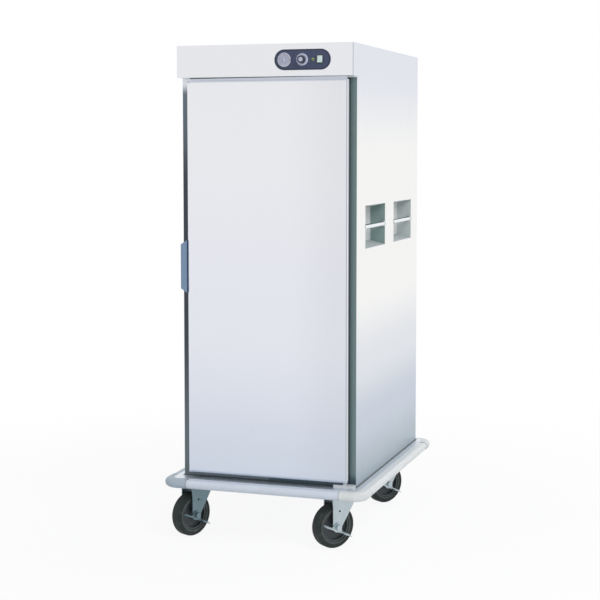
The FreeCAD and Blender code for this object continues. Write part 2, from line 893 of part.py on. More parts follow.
def side_panels():
    """One sheet to a side, reaching forward at the top as the header's cheek."""
    low, high = d.grip_mid - d.grip_height / 2, d.grip_mid + d.grip_height / 2
    sides = {"left": (-d.cabinet_side, -d.panel_inside), "right": (d.panel_inside, d.cabinet_side)}
    for side, span in sides.items():
        panel = Piece(f"side_panel_{side}")
        panel.add("YZ", span, Outline([
            (d.frame_front, d.deck_top), (d.cabinet_back, d.deck_top), (d.cabinet_back, d.cabinet_top),
            (d.header_front, d.cabinet_top), (d.header_front, d.header_base), (d.frame_front, d.header_base),
        ]))
        panel.cut("YZ", span, *[Outline.rect(near, far, low, high) for near, far in grip_spans()])
        keep(f"side_panel_{side}", panel)


def back_panel():
    """The rear sheet, with vents for the header compartment and the power inlet's cut-out."""
    span, side, top = (d.back_inside, d.cabinet_back), d.panel_inside, d.cabinet_top - d.outer_gauge
    panel = Piece("back_panel")
    panel.add("XZ", span, Outline.rect(-side, side, d.deck_top, top))
    first = d.control_z - d.vent_pitch * (SIZES["vent_rows"] - 1) / 2
    rows = [first + d.vent_pitch * row for row in range(SIZES["vent_rows"])]
    for x in (-d.vent_offset / 2, d.vent_offset / 2):
        panel.cut("XZ", span, *[Outline.stadium(x, z, d.vent_length, d.vent_height) for z in rows])
    half_width = d.inlet_body / 2 + d.assembly_gap
    half_height = (d.inlet_cup + d.inlet_wall) / 2 + d.assembly_gap
    panel.cut("XZ", span, Outline.about(d.inlet_x, d.control_z, half_width, half_height))
    keep("back_panel", panel)


def top_panel():
    """The lid sheet, with a flange turned down inside each side panel."""
    side, gauge, top = d.panel_inside, d.outer_gauge, d.cabinet_top
    low, under = top - d.top_flange, top - d.outer_gauge
    panel = Piece("top_panel")
    panel.add("XZ", (d.header_front, d.cabinet_back), Outline.rect(-side, side, under, top))
    clear = d.outer_gauge + d.assembly_gap
    for near, far in ((-side, gauge - side), (side - gauge, side)):
        panel.add("XZ", (d.header_front + clear, d.cabinet_back - clear), Outline.rect(near, far, low, under))
    keep("top_panel", panel)


def instrument_holes():
    """Openings for the dial, the knob's shaft, the lamp and the switch, a little over size."""
    x, z, gap = d.control_x, d.control_z, d.assembly_gap
    half_width = d.switch_width / 2 - d.switch_bezel + gap
    half_height = d.switch_height / 2 - d.switch_bezel + gap
    return [
        Ring(x - d.dial_offset, z, d.dial_body + gap),
        Ring(x, z, d.knob_shaft + gap),
        Ring(x + d.lamp_offset, z, d.lamp_body + gap),
        Outline.about(x + d.switch_offset, z, half_width, half_height),
    ]


def ceiling_holes():
    """Openings for the motor's neck and the heater's legs, a little over size."""
    legs = [Ring(x, y, d.heater_tube + d.assembly_gap) for x, y in heater_ends()]
    return [Ring(0, d.fan_y, d.motor_neck + d.assembly_gap), *legs]


def header_panel():
    """The control fascia, folded back underneath as the floor of the header compartment."""
    gauge, face, back = d.outer_gauge, d.header_front, d.back_inside
    top, low = d.cabinet_top - d.outer_gauge, d.header_base
    panel = Piece("header_panel")
    panel.add("YZ", (-d.panel_inside, d.panel_inside), Outline([
        (face, top), (face, low), (back, low), (back, low + gauge),
        (face + gauge, low + gauge), (face + gauge, top),
    ]))
    panel.cut("XZ", (face, face + gauge), *instrument_holes())
    panel.cut("XY", (low, low + gauge), *ceiling_holes())
    keep("header_panel", panel)


def front_frame():
    """The face frame that the door seals against."""
    frame = Piece("front_frame")
    frame.add(
        "XZ", (d.frame_front, d.frame_back),
        Outline.rect(-d.panel_inside, d.panel_inside, d.deck_top, d.header_base),
        Outline.rect(-d.opening_side, d.opening_side, d.opening_base, d.opening_top),
    )
    keep("front_frame", frame)


def liners():
    """The cavity's lining: one sheet round three walls, a floor and a ceiling."""
    side, outer, back, gauge = d.opening_side, d.liner_side, d.cavity_back, d.liner_gauge
    low, high = d.opening_base - gauge, d.opening_top + gauge
    front = d.frame_back
    wrap = Piece("liner_wrap")
    wrap.add("XY", (low, high), Outline([
        (-outer, front), (-side, front), (-side, back), (side, back), (side, front), (outer, front),
        (outer, d.liner_back), (-outer, d.liner_back),
    ]))
    keep("liner_wrap", wrap)
    floor = Piece("liner_floor")
    floor.add("XY", (low, d.opening_base), Outline.rect(-side, side, front, back))
    keep("liner_floor", floor)
    ceiling = Piece("liner_ceiling")
    ceiling.add("XY", (d.opening_top, high), Outline.rect(-side, side, front, back))
    ceiling.cut("XY", (d.opening_top, high), *ceiling_holes())
    keep("liner_ceiling", ceiling)


def insulation():
    """Slabs between lining and outer sheets, cut away behind the hand grips."""
    gauge, slabs = d.grip_gauge, []
    for name, side in (("left", -1), ("right", 1)):
        span = (-d.panel_inside, -d.liner_side) if side < 0 else (d.liner_side, d.panel_inside)
        slab = Piece(f"insulation_{name}")
        slab.add("YZ", span, Outline.rect(d.frame_back, d.back_inside, d.deck_top, d.header_base))
        for near, far in grip_spans():
            slab.cut("XZ", (near - gauge, far + gauge), grip_dish(side, gauge))
        slabs.append(slab)
    wide = (-d.liner_side, d.liner_side)
    below = (d.deck_top, d.opening_base - d.liner_gauge)
    slabs.append(box("insulation_back", wide, (d.liner_back, d.back_inside), (d.deck_top, d.header_base)))
    slabs.append(box("insulation_floor", wide, (d.frame_back, d.liner_back), below))
    over = Piece("insulation_ceiling")
    span = (d.opening_top + d.liner_gauge, d.header_base)
    over.add("XY", span, Outline.rect(*wide, d.frame_back, d.liner_back))
    over.cut("XY", span, *ceiling_holes())
    slabs.append(over)
    keep("insulation", group("insulation", slabs))


def hand_grips():
    """Recessed dishes behind the side cut-outs, each crossed by a round bar flush with the side."""
    gauge, pockets, bars = d.grip_gauge, [], []
    for side in (-1, 1):
        for near, far in grip_spans():
            name = f"{'right' if side > 0 else 'left'}_{len(pockets) % 2}"
            pocket = Piece(f"handle_pocket_{name}")
            pocket.add("XZ", (near - gauge, far + gauge), grip_dish(side, gauge))
            pocket.cut("XZ", (near, far), grip_dish(side, 0))
            pockets.append(pocket)
            bar_x = (d.cabinet_side - d.grip_bar) * side
            bars.append(level_rod(f"handle_bar_{name}", d.grip_bar, near, far, bar_x, d.grip_mid))
    keep("handle_pockets", group("handle_pockets", pockets))
    keep("handle_bars", group("handle_bars", bars))


def racks():
    """Ladders of angle runners on three posts, one ladder to a side wall."""
    front, back = d.frame_back + d.rack_margin, d.cavity_back - d.rack_margin
    step = (back - front - d.post_width) / (SIZES["post_count"] - 1)
    first = d.opening_base + d.runner_start
    pitch = (d.opening_top - d.runner_end - first) / (SIZES["runner_count"] - 1)
    for side in (-1, 1):
        name = "right" if side > 0 else "left"
        wall, face = d.opening_side * side, (d.opening_side - d.post_depth) * side
        lip = (d.opening_side - d.post_depth - d.runner_gauge) * side
        tip = (d.opening_side - d.post_depth - d.runner_ledge) * side
        solids = []
        for k in range(SIZES["post_count"]):
            start = front + step * k
            post = Outline.rect(*sorted((wall, face), key=lambda s: s.value), start, start + d.post_width)
            solids.append(Piece(f"post_{name}_{k}").add("XY", (d.opening_base, d.opening_top), post))
        for k in range(SIZES["runner_count"]):
            level = first + pitch * k
            angle = Outline([
                (face, level), (tip, level), (tip, level + d.runner_gauge), (lip, level + d.runner_gauge),
                (lip, level + d.runner_lip), (face, level + d.runner_lip),
            ])
            solids.append(Piece(f"runner_{name}_{k}").add("XZ", (front, back), angle))
        keep(f"rack_{name}", group(f"rack_{name}", solids))


# Heat


def heater_ends():
    """The two places where the heater's legs rise through the ceiling."""
    half, ring, bend = d.heater_gap_angle / 2, d.heater_radius, d.heater_bend
    across = ring * sine(half) - bend * cosine(half)
    return [(ring * cosine(half) + bend * sine(half), d.fan_y + across * side) for side in (1, -1)]


def fan_motor():
    """A flanged motor on the header floor, its neck reaching down through the ceiling to the cavity."""
    floor, neck = d.header_floor, d.motor_neck
    bore, low = d.shaft_radius + d.running_fit, d.opening_top
    flange_top = floor + d.motor_flange_gauge
    motor = Piece("fan_motor")
    motor.turn(Outline([
        (bore, low), (neck, low), (neck, floor), (d.motor_flange, floor), (d.motor_flange, flange_top),
        (d.motor_radius, flange_top), (d.motor_radius, floor + d.motor_height), (0, floor + d.motor_height),
        (0, floor + d.shaft_grip), (bore, floor + d.shaft_grip),
    ]), "Z", (0, d.fan_y))
    keep("fan_motor", motor)


def fan_impeller():
    """A backward-leaning blade wheel on its shaft."""
    top = d.opening_top - d.fan_drop
    disc, low = top - d.fan_disc, top - d.fan_disc - d.blade_height
    shaft_top = d.header_floor + d.shaft_grip - d.assembly_gap
    fan = Piece("fan_impeller")
    fan.turn(Outline([
        (0, top - d.fan_hub_height), (d.fan_hub, top - d.fan_hub_height), (d.fan_hub, disc),
        (d.fan_radius, disc), (d.fan_radius, top), (d.shaft_radius, top), (d.shaft_radius, shaft_top),
        (0, shaft_top),
    ]), "Z", (0, 0))
    root, tip, lean, half = d.blade_inner, d.fan_radius, d.blade_lean, d.blade_gauge / 2
    end = tip * cosine(lean)
    swing = tip * sine(lean)
    fan.add("XY", (low, disc), Outline([
        (root, -half), (end, -swing - half), (end, half - swing), (root, half),
    ]))
    fan.around("Z_Axis", d.blade_count)
    fan.place(0, d.fan_y, 0, Rotation())
    keep("fan_impeller", fan)


def heater_element():
    """A tubular ring round the fan, bent up at both ends into legs that reach the header."""
    half = math.radians(d.heater_gap_angle.value / 2)
    ring, bend = d.heater_radius.value, d.heater_bend.value
    level = (d.opening_top - d.heater_drop).value
    top = (d.header_floor + d.heater_rise).value
    middle = Vector(0, d.fan_y.value, level)
    lift = Vector(0, 0, bend)
    first, last = (middle + Vector(math.cos(half), math.sin(half) * side, 0) * ring for side in (1, -1))
    along, across = math.sin(half) * bend, math.cos(half) * bend
    edges = []
    for end, side in ((first, Vector(along, -across, 0)), (last, Vector(along, across, 0))):
        foot = end + side + lift
        sag = end + lift + (side - lift) * BEND_SHARE
        edges.append(Part.LineSegment(Vector(foot.x, foot.y, top), foot).toShape())
        edges.append(Part.Arc(foot, sag, end).toShape())
    edges.insert(2, Part.Arc(first, middle - Vector(ring, 0, 0), last).toShape())
    section = Part.Circle(edges[0].Vertexes[0].Point, UP, d.heater_tube.value).toShape()
    heater = doc.addObject("Part::Feature", "heater_element")
    heater.Shape = Part.Wire(Part.__sortEdges__(edges)).makePipeShell([Part.Wire([section])], True, False)
    keep("heater_element", heater)


def air_baffle():
    """A hung tray under the fan: open to front and back, drilled as the air intake."""
    low, high, gauge = d.opening_top - d.baffle_drop, d.opening_top, d.liner_gauge
    near, far = d.fan_y - d.baffle_depth / 2, d.fan_y + d.baffle_depth / 2
    lip = d.opening_side - d.baffle_margin
    half = lip - d.baffle_lip
    baffle = Piece("air_baffle")
    baffle.add("XZ", (near, far), Outline([
        (-half, low), (half, low), (half, high - gauge), (lip, high - gauge), (lip, high),
        (half - gauge, high), (half - gauge, low + gauge), (gauge - half, low + gauge), (gauge - half, high),
        (-lip, high), (-lip, high - gauge), (-half, high - gauge),
    ]))
    holes = [Ring(0, d.fan_y, d.intake_hole)]
    for ring in range(1, SIZES["intake_ring_count"] + 1):
        count = SIZES["intake_count"] * ring
        turns = [Size.of(360 * k / count) for k in range(count)]
        radius = d.intake_ring * ring
        holes += [Ring(radius * cosine(a), d.fan_y + radius * sine(a), d.intake_hole) for a in turns]
    baffle.cut("XY", (low, low + gauge), *holes)
    keep("air_baffle", baffle)


# Door


def door():
    """A pan skin, a plug lining and a foam core, with the seal between them and the face frame."""
    side, low, high = d.door_side, d.door_base, d.door_top
    front, back, gauge = d.door_front, d.door_back, d.outer_gauge
    bore = Ring(d.pivot_x, d.pivot_y, d.pivot_radius + d.running_fit)
    bush = Ring(d.pivot_x, d.pivot_y, d.pivot_radius + d.running_fit + d.bush_wall)

    skin = Piece("door_skin")
    skin.add("XZ", (front, back), Outline.rect(-side, side, low, high))
    skin.rounded(d.door_edge, at_station("y", front))
    skin.shelled(gauge, at_station("y", back))
    skin.cut("XY", (low, low + d.door_edge), bush)
    skin.cut("XY", (high - d.door_edge, high), bush)
    keep("door_skin", skin)

    plug = Outline.rect(-d.plug_side, d.plug_side, d.plug_base, d.plug_top)
    thin = d.liner_gauge
    hollow = Outline.rect(thin - d.plug_side, d.plug_side - thin, d.plug_base + thin, d.plug_top - thin)
    inner_side, inner_low, inner_high = side - gauge, low + gauge, high - gauge
    lining = Piece("door_liner")
    lining.add("XZ", (back - thin, back), Outline.rect(-inner_side, inner_side, inner_low, inner_high))
    lining.add("XZ", (back, d.plug_back), plug)
    lining.cut("XZ", (back - thin, d.plug_back - thin), hollow)
    keep("door_liner", lining)

    core = Piece("door_core")
    core.add("XZ", (front + gauge, back - thin), Outline.rect(-inner_side, inner_side, inner_low, inner_high))
    core.rounded(d.door_edge - gauge, at_station("y", front + gauge))
    core.add("XZ", (back - thin, d.plug_back - thin), hollow)
    for span in ((inner_low, inner_low + d.pivot_grip), (inner_high - d.pivot_grip, inner_high)):
        core.cut("XY", span, bush)
    keep("door_core", core)

    outer, wide = d.gasket_inset, d.gasket_inset + d.gasket_width
    seal = (back, d.frame_front - d.seal_gap)
    gasket = Piece("door_gasket")
    gasket.add("XZ", seal,
               Outline.rect(outer - side, side - outer, low + outer, high - outer),
               Outline.rect(wide - side, side - wide, low + wide, high - wide))
    gasket.rounded(d.gasket_bead, at_station("y", d.frame_front - d.seal_gap))
    keep("door_gasket", gasket)

    bushes = []
    for end, span in (("base", (low, low + d.pivot_grip)), ("top", (high - d.pivot_grip, high))):
        bushes.append(Piece(f"door_bush_{end}").add("XY", span, bush, bore))
    keep("door_bushes", group("door_bushes", bushes))


def door_handle():
    """An edge pull on the door's free side: a flange on the edge and a lip that the fingers hook behind."""
    edge, tip = -d.door_side, -d.door_side - d.pull_reach
    middle = d.deck_top + d.pull_level
    low, high = middle - d.pull_length / 2, middle + d.pull_length / 2
    back, step = d.door_back - d.outer_gauge, d.door_front + d.pull_step
    flange, slope = edge - d.pull_flange, d.pull_slope
    pull = Piece("door_handle")
    pull.add("XY", (low, high), Outline([
        (edge, step), (edge, back), (flange, back), (flange, step), (tip, step), (tip, step - d.pull_gauge),
        (flange, step - d.pull_gauge),
    ]))
    pull.cut("XZ", (step - d.pull_gauge, back), Outline([(tip, low), (flange, low), (tip, low + slope)]))
    pull.cut("XZ", (step - d.pull_gauge, back), Outline([(tip, high), (tip, high - slope), (flange, high)]))
    pull.rounded(d.pull_gauge * SIZES["pull_round_share"], at_station("x", tip))
    keep("door_handle", pull)


def hinge_brackets():
    """Fixed pivots above and below the door's right edge, each with a collar and a pin."""
    pin, x, y = d.pivot_radius, d.pivot_x, d.pivot_y
    right, front, back = d.cabinet_side, d.door_front, d.frame_front
    solids = []
    for end, length in (("base", d.bracket_length), ("top", d.bracket_top_length)):
        if end == "base":
            plate = (d.deck_top, d.door_base - d.bracket_gauge)
            collar = (plate[1], d.door_base - d.assembly_gap)
            shaft = (plate[1], d.door_base + d.pivot_grip - d.assembly_gap)
        else:
            plate = (d.header_base - d.bracket_gauge, d.header_base)
            collar = (d.door_top + d.assembly_gap, plate[0])
            shaft = (d.door_top - d.pivot_grip + d.assembly_gap, plate[0])
        bracket = Piece(f"hinge_bracket_{end}")
        bracket.add("XY", plate, Outline.rounded(right - length, right, front, back, d.bracket_corner))
        bracket.add("XY", collar, Ring(x, y, d.collar_radius))
        bracket.add("XY", shaft, Ring(x, y, pin))
        if end == "base":
            head = (plate[1] - plate[0]) * SIZES["bracket_screw_share"]
            screw = Ring(right - d.bracket_corner - head / 2, (plate[0] + plate[1]) / 2, head)
            bracket.add("XZ", (front - d.bracket_screw_head, front), screw)
        solids.append(bracket)
    keep("hinge_brackets", group("hinge_brackets", solids))


# Controls


def control_plate():
    """The dark stadium plate on the fascia, with openings for the four instruments."""
    span = (d.control_front, d.header_front)
    plate = Piece("control_plate")
    plate.add("XZ", span, Outline.stadium(d.control_x, d.control_z, d.control_length, d.control_height))
    plate.rounded(d.control_edge, at_station("y", d.control_front))
    plate.cut("XZ", span, *instrument_holes())
    keep("control_plate", plate)


def thermometer():
    """A bezelled dial with a glass and a needle on its spindle."""
    x, z, face = d.control_x - d.dial_offset, d.control_z, d.control_front
    front = face - d.dial_proud
    dial = front + d.dial_face_depth
    opening = d.dial_radius - d.dial_bezel
    case = Piece("thermometer_case")
    case.turn(Outline([
        (0, dial), (opening, dial), (opening, front), (d.dial_radius - d.dial_bezel / 2, front),
        (d.dial_radius, front + d.dial_bezel / 2), (d.dial_radius, face), (d.dial_body, face),
        (d.dial_body, face + d.dial_depth), (0, face + d.dial_depth),
    ]), "Y", (x, z))
    spindle_top = front + d.lens_gauge + d.seal_gap
    case.add("XZ", (spindle_top, dial), Ring(x, z, d.spindle_radius))
    keep("thermometer_case", case)
    lens = Piece("thermometer_lens")
    lens.add("XZ", (front, front + d.lens_gauge), Ring(x, z, opening))
    keep("thermometer_lens", lens)
    middle = dial - (d.dial_face_depth - d.lens_gauge) / 2
    half, slim = d.needle_gauge / 2, d.needle_half_width
    needle = Piece("thermometer_needle")
    span = (middle - half, middle + half)
    needle.add("XZ", span, Ring(0, 0, d.needle_hub))
    needle.add("XZ", span, Outline([
        (slim, -d.needle_tail), (d.needle_tip, d.needle_length), (-d.needle_tip, d.needle_length),
        (-slim, -d.needle_tail),
    ]))
    needle.cut("XZ", span, Ring(0, 0, d.spindle_radius + d.running_fit))
    needle.place(x, 0, z, Rotation(Vector(0, 1, 0), -d.needle_angle.value))
    keep("thermometer_needle", needle)


def thermostat():
    """A boxed thermostat behind the fascia; its shaft carries a skirted, ribbed knob."""
    x, z, face = d.control_x, d.control_z, d.control_front
    inside = d.header_front + d.outer_gauge
    half = d.thermostat_width / 2
    switch = Piece("thermostat")
    case = Outline.about(x, z, half, half, d.thermostat_corner)
    switch.add("XZ", (inside, inside + d.thermostat_depth), case)
    shaft_end = face - d.knob_height + d.knob_skirt_height
    switch.add("XZ", (shaft_end, inside), Ring(x, z, d.knob_shaft))
    keep("thermostat", switch)
    back, skirt, front = face - d.seal_gap, face - d.seal_gap - d.knob_skirt_height, face - d.knob_height
    knob = Piece("thermostat_knob")
    knob.turn(Outline([
        (0, back), (d.knob_skirt, back), (d.knob_skirt, skirt + d.knob_taper),
        (d.knob_skirt - d.knob_taper, skirt), (d.knob_grip, skirt), (d.knob_grip - d.knob_taper, front),
        (0, front),
    ]), "Y", (0, 0))
    knob.cut("XZ", (front, skirt), Ring(d.knob_grip + d.knob_flute / 2, 0, d.knob_flute))
    knob.around("Y_Axis", d.knob_flute_count, grows=False)
    rib = d.knob_rib / 2
    knob.add("XZ", (front - rib, front), Outline.rect(-rib, rib, 0, d.knob_grip - d.knob_taper))
    knob.cut("XZ", (shaft_end - d.seal_gap, back), Ring(0, 0, d.knob_shaft + d.running_fit))
    knob.place(x, 0, z, Rotation())
    keep("thermostat_knob", knob)


def indicator_lamp():
    """A domed pilot lamp in a small collar."""
    face = d.control_front
    rise = d.lamp_collar
    dome = d.lamp_radius - rise
    lamp = Piece("indicator_lamp")
    lamp.turn(Outline(
        [
            (0, face + d.lamp_depth), (0, face - rise - dome), (dome, face - rise),
            (d.lamp_radius, face - rise), (d.lamp_radius, face), (d.lamp_body, face),
            (d.lamp_body, face + d.lamp_depth),
        ],
        {1: (dome, 1)},
    ), "Y", (d.control_x + d.lamp_offset, d.control_z))
    keep("indicator_lamp", lamp)


def power_switch():
    """A bezelled switch body with a rocker on two trunnions."""
    x, z, face = d.control_x + d.switch_offset, d.control_z, d.control_front
    half_width, half_height = d.switch_width / 2, d.switch_height / 2
    bezel, wall = d.switch_bezel, d.switch_wall
    inner_width = half_width - bezel - wall
    inner_height = half_height - bezel - d.switch_end
    radius = inner_height - d.assembly_gap
    front = face - d.switch_proud
    pocket = face + d.rocker_depth + d.assembly_gap
    body = Piece("switch_body")
    body.add("XZ", (front, face), Outline.about(x, z, half_width, half_height, bezel))
    neck = Outline.about(x, z, half_width - bezel, half_height - bezel)
    body.add("XZ", (face, face + d.switch_depth), neck)
    body.cut("XZ", (front, pocket), Outline.about(x, z, inner_width, inner_height))
    reach = inner_width + d.rocker_pin_reach
    body.cut("YZ", (x - reach, x + reach), Ring(face, z, d.rocker_pin + d.running_fit))
    keep("switch_body", body)
    half = inner_width - d.seal_gap
    crest = -d.switch_proud - d.rocker_sag
    low = d.rocker_depth - d.rocker_sag
    chin = radius * cosine(d.rocker_tilt) - d.rocker_sag
    rocker = Piece("switch_rocker")
    rocker.add("YZ", (-half, half), Outline([
        (crest, -radius), (-d.switch_proud, 0), (crest, radius), (0, radius),
        (low, chin / 2), (low, -chin / 2), (0, -radius),
    ]))
    pin = d.rocker_pin_reach - d.running_fit * 2
    rocker.add("YZ", (-inner_width - pin, inner_width + pin), Ring(0, 0, d.rocker_pin))
    rocker.place(x, face, z, Rotation(Vector(1, 0, 0), -d.rocker_tilt.value))
    keep("switch_rocker", rocker)


def power_inlet():
    """A flanged socket on the back with three pins in a shallow cup."""
    x, z, face = d.inlet_x, d.control_z, d.cabinet_back
    body, cup, wall = d.inlet_body / 2, d.inlet_cup / 2, d.inlet_wall / 2
    flange = Outline.about(x, z, d.inlet_width / 2, d.inlet_height / 2, d.inlet_wall)
    floor = face - d.inlet_depth + d.inlet_wall
    inlet = Piece("power_inlet")
    inlet.add("XZ", (face, face + d.inlet_gauge), flange)
    inlet.add("XZ", (face - d.inlet_depth, face), Outline.about(x, z, body, cup + wall))
    inlet.cut("XZ", (floor, face + d.inlet_gauge), Outline.about(x, z, body - wall, cup))
    inlet.add("XZ", (floor, face), *[
        Ring(x + d.inlet_pin_pitch * k, z, d.inlet_pin_radius) for k in (-1, 0, 1)
    ])
    keep("power_inlet", inlet)


def export():
    """Write each piece once every object is sound."""
    doc.recompute()
    for thing in doc.Objects:
        if {"Invalid", "Error"} & set(thing.State):
            raise ValueError(f"{thing.Label}: {thing.State}")
    for name, thing in parts.items():
        if thing.Shape.isNull() or not thing.Shape.isValid():
            raise ValueError(f"{name}: its shape is not valid")
    os.makedirs("parts", exist_ok=True)
    for name, thing in parts.items():
        thing.Label = name
        thing.Shape.exportStep(f"parts/{name}.step")
    print(len(parts), "pieces")


base_frame()
bumpers()
caster_plates()
casters()
side_panels()
back_panel()
top_panel()
header_panel()
front_frame()
liners()
insulation()
hand_grips()
racks()
fan_motor()
fan_impeller()
heater_element()
air_baffle()
door()
door_handle()
hinge_brackets()
control_plate()
thermometer()
thermostat()
indicator_lamp()
power_switch()
power_inlet()
export()
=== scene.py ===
"""Looks of a tall food warmer cart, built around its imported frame.

The cart stands on the floor at the origin, +Z up, with its door towards -Y. Lengths are in metres.
"""

import json
import logging
import math
from dataclasses import dataclass, replace
from enum import Enum
from typing import ClassVar, Optional, Sequence, Union

import bmesh
import bpy
from mathutils import Matrix, Vector

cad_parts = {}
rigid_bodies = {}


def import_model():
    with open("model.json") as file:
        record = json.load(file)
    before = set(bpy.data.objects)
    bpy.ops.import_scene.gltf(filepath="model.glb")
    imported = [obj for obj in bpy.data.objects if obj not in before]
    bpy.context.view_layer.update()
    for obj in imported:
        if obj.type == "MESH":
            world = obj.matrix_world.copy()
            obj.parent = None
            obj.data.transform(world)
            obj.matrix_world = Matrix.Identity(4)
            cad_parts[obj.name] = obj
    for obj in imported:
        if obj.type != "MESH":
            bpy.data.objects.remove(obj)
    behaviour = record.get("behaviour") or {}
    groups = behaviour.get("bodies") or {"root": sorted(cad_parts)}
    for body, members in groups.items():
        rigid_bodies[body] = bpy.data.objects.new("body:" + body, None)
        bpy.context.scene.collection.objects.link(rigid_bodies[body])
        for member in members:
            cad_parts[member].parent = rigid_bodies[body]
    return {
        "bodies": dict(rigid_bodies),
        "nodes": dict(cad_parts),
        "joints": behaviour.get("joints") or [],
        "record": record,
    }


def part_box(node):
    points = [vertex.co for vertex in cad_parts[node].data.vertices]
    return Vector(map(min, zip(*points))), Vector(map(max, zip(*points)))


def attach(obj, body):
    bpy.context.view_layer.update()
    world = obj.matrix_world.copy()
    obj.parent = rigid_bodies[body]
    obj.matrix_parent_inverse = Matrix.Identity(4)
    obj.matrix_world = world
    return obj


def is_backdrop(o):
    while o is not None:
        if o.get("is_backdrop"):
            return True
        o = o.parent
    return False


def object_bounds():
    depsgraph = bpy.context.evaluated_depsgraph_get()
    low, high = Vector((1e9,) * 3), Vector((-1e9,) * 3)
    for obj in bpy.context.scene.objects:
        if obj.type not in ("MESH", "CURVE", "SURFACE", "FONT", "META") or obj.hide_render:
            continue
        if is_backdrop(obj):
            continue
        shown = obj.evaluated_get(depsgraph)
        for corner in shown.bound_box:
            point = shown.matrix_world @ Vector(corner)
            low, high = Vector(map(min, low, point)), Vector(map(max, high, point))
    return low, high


LOG = logging.getLogger("food_warmer_cart")
CORNERS = ("front_left", "front_right", "rear_left", "rear_right")
UP = Vector((0.0, 0.0, 1.0))
FRONT = Vector((0.0, -1.0, 0.0))
BACK = Vector((0.0, 1.0, 0.0))
DOWN = Vector((0.0, 0.0, -1.0))
ACROSS = Vector((1.0, 0.0, 0.0))

Pair = tuple[float, float]
Triple = tuple[float, float, float]
Color = Triple
Stops = tuple[tuple[float, Color], ...]

WHITE = (1.0, 1.0, 1.0, 1.0)
NOISE_MEAN = 0.5
WELD_DISTANCE = 2e-6
EASE_ANGLE = math.radians(40)
EASE_STEPS = 2
NORMAL_DIGITS = 2
PLACE_DIGITS = 4


# Shader expressions


class Shade:
    """A shader value that takes part in Python sums; each sum adds its Math node."""

    def __init__(self, graph: "Graph", socket: bpy.types.NodeSocket) -> None:
        """Wrap one output socket of a graph."""
        self.graph = graph
        self.socket = socket

    def math(self, operation: str, first: "Operand", second: "Operand" = 0.0) -> "Shade":
        """Add one Math node.

        Args:
            operation: What the node works out.
            first: Its first operand.
            second: Its second operand.

        Returns:
            The node's value.
        """
        return self.graph.value("ShaderNodeMath", {"operation": operation}, {0: first, 1: second})

    def __add__(self, other: "Operand") -> "Shade":
        """This value plus another."""
        return self.math("ADD", self, other)

    def __radd__(self, other: "Operand") -> "Shade":
        """Another value plus this one."""
        return self.math("ADD", other, self)

    def __sub__(self, other: "Operand") -> "Shade":
        """This value less another."""
        return self.math("SUBTRACT", self, other)

    def __rsub__(self, other: "Operand") -> "Shade":
        """Another value less this one."""
        return self.math("SUBTRACT", other, self)

    def __mul__(self, other: "Operand") -> "Shade":
        """This value times another."""
        return self.math("MULTIPLY", self, other)

    def __rmul__(self, other: "Operand") -> "Shade":
        """Another value times this one."""
        return self.math("MULTIPLY", other, self)

    def __gt__(self, other: "Operand") -> "Shade":
        """1 where this value is the larger, otherwise 0."""
        return self.math("GREATER_THAN", self, other)

    def __lt__(self, other: "Operand") -> "Shade":
        """1 where this value is the smaller, otherwise 0."""
        return self.math("LESS_THAN", self, other)

    def or_(self, other: "Operand") -> "Shade":
        """The larger of two masks."""
        return self.math("MAXIMUM", self, other)

    def root(self) -> "Shade":
        """The square root of this value."""
        return self.math("SQRT", self)

    def ease(self, low: float, high: float) -> "Shade":
        """A smooth rise from 0 at low to 1 at high."""
        return self.graph.value(
            "ShaderNodeMapRange", {"interpolation_type": "SMOOTHSTEP"},
            {"Value": self, "From Min": low, "From Max": high},
        )


Operand = Union[Shade, float]
Setting = Union[str, bool, float]
Socket = Union[Shade, float, Sequence[float]]


@dataclass(frozen=True)
class Pattern:
    """A noise over a surface.

    It has so many features to the metre, in so many octaves, as dense along each axis as stretch
    says. A span turns it into patches, which rise from none at its lower end to full at its upper.
    """

    scale: float
    detail: float = 2.0
    stretch: Triple = (1.0, 1.0, 1.0)
    span: Optional[Pair] = None


